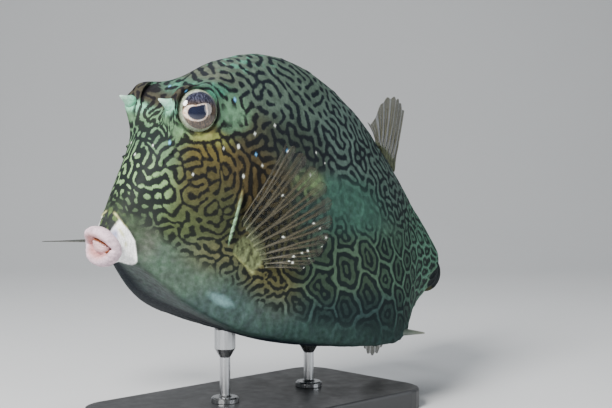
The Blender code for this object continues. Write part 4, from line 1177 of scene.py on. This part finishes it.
def lip_rings():
    """Rings from the middle of the tongue out through the crease, over the lips to the snout's rim."""
    turn = np.arctan2(BODY[0, :, 2] - LIP_CENTRE[2], BODY[0, :, 1])
    wide, high = np.cos(turn), np.sin(turn)
    corner = wide**4
    across, deep = (middle + (end - middle) * corner for middle, end in (LIP_ACROSS, LIP_DEEP))
    back, lean = LIP_CORNER_BACK * corner, lip_lean(high)
    slit = hill(high, 0, CREASE_CORNER)
    folds = 0.02 * np.sin(15 * turn + 1) + 0.015 * np.sin(27 * turn)
    middle = LIP_CENTRE + np.stack([back + lean, LIP_HALF_WIDTH * wide, LIP_HALF_HEIGHT * high], 1)
    out = np.stack([np.zeros_like(wide), wide, high], 1)
    rings, dark = [], []
    for bend in np.linspace(LIP_BENDS[1], LIP_BENDS[0], LIP_RINGS):
        size = 1 + folds * fall(bend, 120, 50) - 0.30 * slit * rise(bend, 40, 50)
        c, s = math.cos(math.radians(bend)), math.sin(math.radians(bend))
        rings.append(middle + out * (across * size * c)[:, None] - [1, 0, 0] * (deep * size * s)[:, None])
        # Painted shade: the crease darkened, over more of the lips towards the corners
        dark.append(rise(bend + 72 * slit, 150, 16))
    # The mouth is closed under its middle and on the fish's right
    closed = np.maximum((1 - rise(np.abs(wide), 0.60, 0.16)) * (high < 0), rise(wide, 0.20, 0.3))
    centre = rings[0].mean(0)
    mouth, tongue_shade = [], []
    for share, x in TONGUE:
        ring = centre + (rings[0] - centre) * share
        ring[:, 0] = x + (min(x, CLOSED_AT) - x) * closed + (back + np.maximum(lean, 0)) * share
        mouth.append(ring)
        # The tongue is painted dark as shade towards the crease
        tongue_shade.append(np.full(COLUMNS, rise(share, 0.72, 0.10)))
    return mouth, rings, lip_colours(np.array(tongue_shade + dark) * (1 - closed), len(mouth))


def lip_colours(dark, mouth):
    """Colours of the mouth's and lips' rings: pink, pinker at the inner edge, and painted dark as shade in
    the crease.
    """
    over = np.clip((np.arange(len(dark)) - mouth) / (len(dark) - mouth), 0, 1)
    rings = mix(LIP_EDGE_COLOUR, LIP_COLOUR, rise(over, 0.22, 0.3))
    rings[:mouth] = TONGUE_COLOUR
    return mix(rings[:, None], CREASE_SHADE, dark)


def stalk_frame(length):
    """The middle line of the tail at a length from the rim: its place, direction and side."""
    bend = math.radians(STALK_BEND) / STALK_LENGTH
    inside = min(length, STALK_LENGTH)
    turn = bend * inside
    place = STALK_START + Vector((math.sin(turn), 1 - math.cos(turn), 0)) / bend
    place.z -= STALK_DROOP * float(smoothstep(inside / STALK_LENGTH))
    beyond = length - inside
    if beyond > 0:
        curl = math.radians(TAIL_CURL) / TAIL_LENGTH * beyond
        turn += curl
        place = place + Vector((math.cos(turn - curl / 2), math.sin(turn - curl / 2), 0)) * beyond
    along = np.array((math.cos(turn), math.sin(turn), 0))
    return np.array(place), along, np.array((-along[1], along[0], 0))


def shrunk(ring, steps, way):
    """Copies of a ring, each made smaller about its middle and moved along a way."""
    middle = ring.mean(0)
    return [middle + (ring - middle) * share - way * back for share, back in steps]


def stalk_rings(rim):
    """Rings from the shell's rim in and out again along the tail stalk."""
    middle = rim.mean(0)
    turn = np.arctan2(rim[:, 2] - middle[2], rim[:, 1] - middle[1])
    rings = shrunk(rim, STALK_MOUTH, np.array((1, 0, 0)))
    for share in np.linspace(0.02, 1, STALK_RINGS):
        place, _, side = stalk_frame(share * STALK_LENGTH)
        wrinkle = 1 + 0.02 * math.sin(60 * share)
        wide, high = (wrinkle * (start + (end - start) * smoothstep(share))
                      for start, end in (STALK_HALF_WIDTH, STALK_HALF_HEIGHT))
        across = side * (wide * np.cos(turn))[:, None]
        rings.append(place + across + [0, 0, 1] * (high * np.sin(turn))[:, None])
    return rings + shrunk(rings[-1], STALK_END, stalk_frame(STALK_LENGTH)[1])


def extend_fields(fields, front, stalk):
    """The body's fields with those of the mouth and lips before them and of the stalk after them."""
    made = {}
    low = rise(SIDE_GRID[0], 9.6, 0.8)
    for key, grid in fields.items():
        before = np.zeros((len(front), *grid.shape[1:]))
        after = np.repeat(grid[-1:], stalk, 0)
        if key == "ground":
            before = front
            # The stalk is painted dark as shade, with the olive band low on it
            dark = smoothstep(np.arange(stalk) / 5)[:, None] + 0 * low
            after = mix(mix(after, STALK_SHADE, dark), STALK_EDGE, 0.8 * dark * low)
        if key == "cover":
            after = after * np.linspace(1, 0, stalk)[:, None] ** 2
        if key == "fleck":
            after = 0 * after
        flat = np.concatenate([before, grid, after]).reshape(-1, *grid.shape[2:])
        made[key] = np.concatenate([flat, flat[:1], flat[-1:]])
    return made


def build_skin():
    mouth, lips, front = lip_rings()
    body = BODY + BODY_NORMALS * skin_relief()[..., None]
    stalk = stalk_rings(body[-1])
    rings = [*mouth, *lips, *body, *stalk]
    points = np.concatenate([*rings, [mouth[0].mean(0), stalk[-1].mean(0)]])
    fields = extend_fields(skin_markings(grow_lines()), front, len(stalk))
    add_mesh("skin", points, tube_faces(len(rings), COLUMNS), skin_paint(), fields,
             ("head", "carapace", "tail_stalk", "lips"))


# Eyes, teeth, horns and spines

EYE_MESH = (72, 120)
PUPIL_PLACE = (-2.4, -1.6)
PUPIL_RADII = (5.2, 4.0)
PUPIL_CORNER = (0.34, 0.85, 0.28)
PUPIL_FLAT = (0.16, 1.9, 0.5)
BRIGHT_RING = (1.17, 0.26)
SIDES = (("right", 1), ("left", -1))


def eye_fields(local):
    """Where an eye's pupil, bright ring, outer rim and upper half are, in its own axes."""
    away = local[:, [0, 2]] - PUPIL_PLACE
    way = np.arctan2(away[:, 1], away[:, 0])
    # The pupil has a corner up and back, and is flatter above
    corner, flat = (size * hill(way, at, width) for size, at, width in (PUPIL_CORNER, PUPIL_FLAT))
    far = np.hypot(away[:, 0] / PUPIL_RADII[0], away[:, 1] / PUPIL_RADII[1]) / (1 + corner - flat)
    broad = BRIGHT_RING[0] + BRIGHT_RING[1] * hill(np.abs(way), math.pi, 0.8)
    across = np.hypot(local[:, 0], local[:, 2]) / EYE_RADII[0]
    return {
        "pupil": fall(far, 1.03, 0.08),
        "bright": fall(far, broad, 0.10) * (local[:, 1] > 0),
        "rim": rise(across, 0.83, 0.05),
        "up": rise(local[:, 2], 1, 5),
    }


def build_eyes():
    paint = eye_paint()
    rings, columns = EYE_MESH
    polar = np.linspace(0, math.pi, rings + 2)[1:-1, None]
    turn = np.arange(columns)[None] * 2 * math.pi / columns
    ball = [np.sin(polar) * np.cos(turn), np.cos(polar) + 0 * turn, np.sin(polar) * np.sin(turn)]
    local = np.concatenate([np.stack(ball, -1).reshape(-1, 3), [(0, 1, 0), (0, -1, 0)]]) * EYE_RADII
    for label, side in SIDES:
        points = (local * [1, side, 1]) @ eye_axes(side).T + EYE_CENTRE * [1, side, 1]
        add_mesh(f"eyeball_{label}", points, tube_faces(rings, columns), paint, eye_fields(local),
                 (f"eye_{label}",))


SPIKE_RINGS = 28
SPIKE_SIDES = 48
TOOTH_SIDES = 10


def spike(base, tip, radius, flat, widths, sides=SPIKE_SIDES):
    """A tapering round spike and, for each point, how near it is to the tip."""
    base, tip = np.array(base), np.array(tip)
    along = unit(tip - base)
    across = unit(np.cross(along, (0, 0, 1)))
    up = np.cross(across, along)
    table = np.array(widths)
    shares = np.linspace(table[0, 0], 1, SPIKE_RINGS)
    turn = np.arange(sides) * 2 * math.pi / sides
    reach = radius * np.interp(shares, *table.T)[:, None]
    middle = base + (tip - base) * shares[:, None]
    ring = middle[:, None] + across * (reach * np.cos(turn))[..., None]
    ring = ring + up * (reach * flat * np.sin(turn))[..., None]
    points = np.concatenate([ring.reshape(-1, 3), middle[:1], tip[None] + along * 0.02])
    shade = np.r_[np.repeat(np.clip(shares, 0, 1), sides), 0, 1]
    return points, tube_faces(SPIKE_RINGS, sides), shade


def build_spikes():
    paints = {"horn": spike_paint("horn", srgb(104, 178, 144), srgb(192, 224, 208)),
              "keel_spine": spike_paint("keel_spine", srgb(70, 84, 72), srgb(128, 130, 116))}
    for name, *shape in SPIKES:
        points, faces, shade = spike(*shape)
        for label, side in SIDES:
            add_mesh(f"{name}_cone_{label}", points * [1, side, 1], faces, paints[name], {"shade": shade},
                     (f"{name}_{label}",))


def build_teeth():
    """Brown teeth in the crease: along the left of the upper lip, and at the left end of the lower lip."""
    points, faces, total = [], [], 0
    for share, half in TEETH:
        high = half * math.sqrt(1 - share**2)
        back = LIP_CORNER_BACK * share**4 + float(lip_lean(high))
        root = np.array((TOOTH_ROOT + back, TOOTH_ARCH[0] * share, LIP_CENTRE[2] + TOOTH_ARCH[1] * high))
        tip = root - (TOOTH_REACH[0], 0, TOOTH_REACH[1] * half)
        shape, quads, _ = spike(root, tip, TOOTH_RADIUS, TOOTH_FLAT, TOOTH_WIDTHS, TOOTH_SIDES)
        faces += [[v + total for v in f] for f in quads]
        points.append(shape)
        total += len(shape)
    add_mesh("teeth", np.concatenate(points), faces, teeth_paint())


# Fins

FIN_COLUMNS = 12
FIN_STEPS = 44
FIN_NOTCH = 0.04
# Each ray forks, and forks again: how far apart its branches come, where that starts and how long it takes
FORK = (0.20, 0.22, 0.4)
TWIG = (0.09, 0.6, 0.3)
RAY_WIDTH = (0.115, 0.05)
PAD_SHARE = 0.16


def spread(points, count):
    """Points along a smooth curve through a few points."""
    return catmull(points, np.linspace(0, len(points) - 1, count))


def sunk(roots, tips, depth):
    """Root points moved away from the tips, so that the fin's root is inside its host."""
    return roots + unit(roots - tips) * depth


def fin_line(roots, tips, places, t, bow):
    """A fin's middle surface and its normals, which at the root all point the same way."""
    start, end = catmull(roots, places), catmull(tips, places)
    notch = FIN_NOTCH * np.sin(math.pi * (places % 1)) ** 2
    end = start + (end - start) * (1 - notch)[:, None]
    line = start[:, None] + (end - start)[:, None] * t[None, :, None]
    line = line + 4 * (t * (1 - t))[None, :, None] * np.asarray(bow, float)
    normal = unit(np.cross(np.gradient(line, axis=0), np.gradient(line, axis=1)))
    whole = normal.mean((0, 1))
    return line, unit(whole + (normal - whole) * smoothstep(2 * t)[None, :, None])


def fin_rays(places, t):
    """How far a fin's points are on a forked ray, from 0 to 1."""
    off = places - np.round(places)
    fork, twig = (apart * rise(t, start, length) for apart, start, length in (FORK, TWIG))
    ways = [way * fork + turn * twig for way in (1, -1) for turn in (1, -1)]
    return np.clip(sum(hill(off[:, None] + way, 0, RAY_WIDTH[0] - RAY_WIDTH[1] * t) for way in ways), 0, 1)


def fin_faces(columns, rows):
    """Both faces of a fin, and the strip that joins them round its edge."""
    other = columns * rows
    quads = grid_faces(columns, rows, closed=False)
    grid = np.arange(other).reshape(columns, rows)
    edge = np.r_[grid[:, 0], grid[-1, 1:], grid[-2::-1, -1], grid[0, -2:0:-1]]
    ahead = np.roll(edge, -1)
    sides = np.stack([edge, edge + other, ahead + other, ahead], 1)
    return quads.tolist() + (quads[:, ::-1] + other).tolist() + sides.tolist()


def fin_flecks(line, count, seed):
    """Bright flecks at drawn places of a fin's outer part."""
    columns, rows = line.shape[:2]
    spots = np.zeros((columns, rows))
    draw = np.random.default_rng(seed)
    for _ in range(count):
        centre = line[draw.integers(columns), draw.integers(rows // 3, rows)]
        spots = np.maximum(spots, np.exp(-((norm(line - centre) / draw.uniform(0.4, 0.7)) ** 4)))
    return spots.ravel()


def add_fin(name, roots, tips, bow, pad, paint, flecks=0):
    """A fan of forked rays raised on a thin web, between rows of root points and of tip points."""
    columns = (len(roots) - 1) * FIN_COLUMNS + 1
    places = np.arange(columns) / FIN_COLUMNS
    t = np.linspace(0, 1, FIN_STEPS + 1)
    line, normal = fin_line(roots, tips, places, t, bow)
    ray = fin_rays(places, t)
    web, full = (np.interp(t, (0, 1), half)[None] for half in (WEB_HALF_THICK, RAY_HALF_THICK))
    thick = web + (full - web) * ray + pad * hill(t, 0, PAD_SHARE)[None]
    face, shift = line.reshape(-1, 3), (normal * thick[..., None]).reshape(-1, 3)
    fields = {"ray": ray.ravel(), "reach": np.tile(t, columns),
              "fleck": fin_flecks(line, flecks, SEED + len(roots))}
    fields = {key: np.tile(values, 2) for key, values in fields.items()}
    add_mesh(f"{name}_web", np.concatenate([face + shift, face - shift]), fin_faces(columns, len(t)), paint,
             fields, (name,))


def build_fins():
    pectoral = fin_paint("pectoral_web", srgb(70, 66, 52), srgb(44, 48, 46), 0.12, srgb(92, 98, 70), 0.5)
    olive = fin_paint("olive_web", srgb(84, 82, 60), srgb(36, 44, 44), 0.42, srgb(70, 76, 54), 0.9)
    for paint, (name, root, edge, bow, flecks) in zip((pectoral, olive), PECTORAL_FINS):
        tips = spread(edge, PECTORAL_RAYS)
        roots = spread([side_point(x, z) for x, z in root], PECTORAL_RAYS)
        roots = (roots - [0, PECTORAL_SINK, 0]) * [1, np.sign(tips[0, 1]), 1]
        add_fin(name, roots, tips, bow, PECTORAL_PAD, paint, flecks)
    for name, root, edge, bow, rays in MIDDLE_FINS:
        roots, tips = spread(root, rays), spread(edge, rays)
        add_fin(name, sunk(roots, tips, FIN_SINK), tips, bow, FIN_PAD, olive)
    build_tail_fin(olive)


def build_tail_fin(paint):
    """A rounded fan on the end of the stalk, rippled a little."""
    roots, tips = [], []
    start, _, _ = stalk_frame(STALK_LENGTH - FIN_SINK)
    for share in np.linspace(-1, 1, TAIL_RAYS):
        roots.append(start + [0, 0, STALK_HALF_HEIGHT[1] * 0.86 * share])
        end, _, side = stalk_frame(STALK_LENGTH + TAIL_LENGTH * (1 - 0.10 * share**2))
        up = TAIL_SPREAD * math.sin(share * TAIL_FAN) / math.sin(TAIL_FAN)
        tips.append(end + side * (1.5 * math.sin(3 * share)) + [0, 0, up])
    _, _, side = stalk_frame(STALK_LENGTH)
    add_fin("caudal_fin", np.array(roots), np.array(tips), side * TAIL_BOW, TAIL_PAD, paint)


# Stand, floor, lights and camera

FLOOR_HALF = 2.2
WALL_AT = 1.5
WALL_HEIGHT = 2.4
SWEEP = 0.7

# The camera in the fish's frame: angles, distance from a point of the fish, and the lens in pixels
CAMERA_TURN = -44.0
CAMERA_RISE = 3.0
CAMERA_ROLL = 6.0
CAMERA_AIM = Vector((0.13, 0.0, 0.075))
CAMERA_DISTANCE = 0.755
LENS_PIXELS = 1300.0
FRAME_PIXELS = 612.0
SHIFT_PIXELS = (31.0, -4.0)
SENSOR = 36.0

LIGHT_AIM = Vector((-0.01, 0, 0.12))
ROOM_COLOUR = (0.80, 0.85, 0.90, 1)
ROOM_STRENGTH = 0.26


def finish_stand():
    for node, paint in (("base", base_paint()), ("rod_front", rod_paint()), ("rod_rear", rod_paint())):
        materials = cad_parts["stand_" + node].data.materials
        materials.clear()
        materials.append(paint)


def build_floor(facing):
    """A pale floor that sweeps up into a wall behind the fish, seen from the camera."""
    profile = [(-FLOOR_HALF, 0.0), (WALL_AT - SWEEP, 0.0)]
    for turn in np.radians(np.linspace(5, 90, 18)):
        profile.append((WALL_AT - SWEEP + SWEEP * math.sin(turn), SWEEP * (1 - math.cos(turn))))
    profile.append((WALL_AT, WALL_HEIGHT))
    away = Vector((-facing.x, -facing.y, 0)).normalized()
    across = Vector((-away.y, away.x, 0))
    sides = (-FLOOR_HALF, FLOOR_HALF)
    points = [away * d + across * s + Vector((0, 0, h)) for d, h in profile for s in sides]
    faces = [(2 * k, 2 * k + 1, 2 * k + 3, 2 * k + 2) for k in range(len(profile) - 1)]
    mesh = bpy.data.meshes.new("floor")
    mesh.from_pydata(points, [], faces)
    mesh.shade_smooth()
    mesh.materials.append(floor_paint())
    floor = link(bpy.data.objects.new("floor", mesh))


def build_camera():
    turn, rise_, roll = (math.radians(v) for v in (CAMERA_TURN, CAMERA_RISE, CAMERA_ROLL))
    back = Vector((math.sin(turn) * math.cos(rise_), -math.cos(turn) * math.cos(rise_), math.sin(rise_)))
    level = Vector((math.cos(turn), math.sin(turn), 0))
    plumb = back.cross(level)
    right = level * math.cos(roll) + plumb * math.sin(roll)
    up = plumb * math.cos(roll) - level * math.sin(roll)
    spot = Matrix((right, up, back)).transposed().to_4x4()
    spot.translation = CAMERA_AIM + back * CAMERA_DISTANCE
    lens = bpy.data.cameras.new("camera")
    lens.sensor_width = SENSOR
    lens.lens = LENS_PIXELS / FRAME_PIXELS * SENSOR
    lens.shift_x, lens.shift_y = (shift / FRAME_PIXELS for shift in SHIFT_PIXELS)
    lens.clip_start = 0.01
    camera = link(bpy.data.objects.new("camera", lens))
    camera.matrix_world = POSE @ spot
    bpy.context.scene.camera = camera
    return camera.matrix_world.to_3x3().col


def add_light(name, offset, size, power, colour):
    """A round lamp at an offset from the point it is aimed at."""
    lamp = bpy.data.lights.new(name, "AREA")
    lamp.shape = "DISK"
    lamp.size = size
    lamp.energy = power
    lamp.color = colour
    light = link(bpy.data.objects.new(name, lamp))
    light.location = LIGHT_AIM + offset
    light.rotation_mode = "QUATERNION"
    light.rotation_quaternion = (-offset).to_track_quat("-Z", "Y")


def build_lights(right, up, back):
    """A soft key near the camera, a weaker fill, a light from behind and a pale room."""
    add_light("key", back * 0.75 + up * 0.55 - right * 0.40, 0.40, 26, (1.0, 0.98, 0.95))
    add_light("fill", back * 0.3 + right * 1.1 + up * 0.2, 0.7, 5, (0.93, 0.97, 1.0))
    add_light("top", Vector((0.1, 0.25, 1.1)), 0.9, 8, (0.96, 0.98, 1.0))
    world = bpy.data.worlds.new("room")
    world.use_nodes = True
    inputs = world.node_tree.nodes["Background"].inputs
    inputs["Color"].default_value = ROOM_COLOUR
    inputs["Strength"].default_value = ROOM_STRENGTH
    bpy.context.scene.world = world


def main():
    build_skin()
    build_eyes()
    build_teeth()
    build_spikes()
    build_fins()
    finish_stand()
    right, up, back = build_camera()
    build_floor(back)
    build_lights(right, up, back)


main()
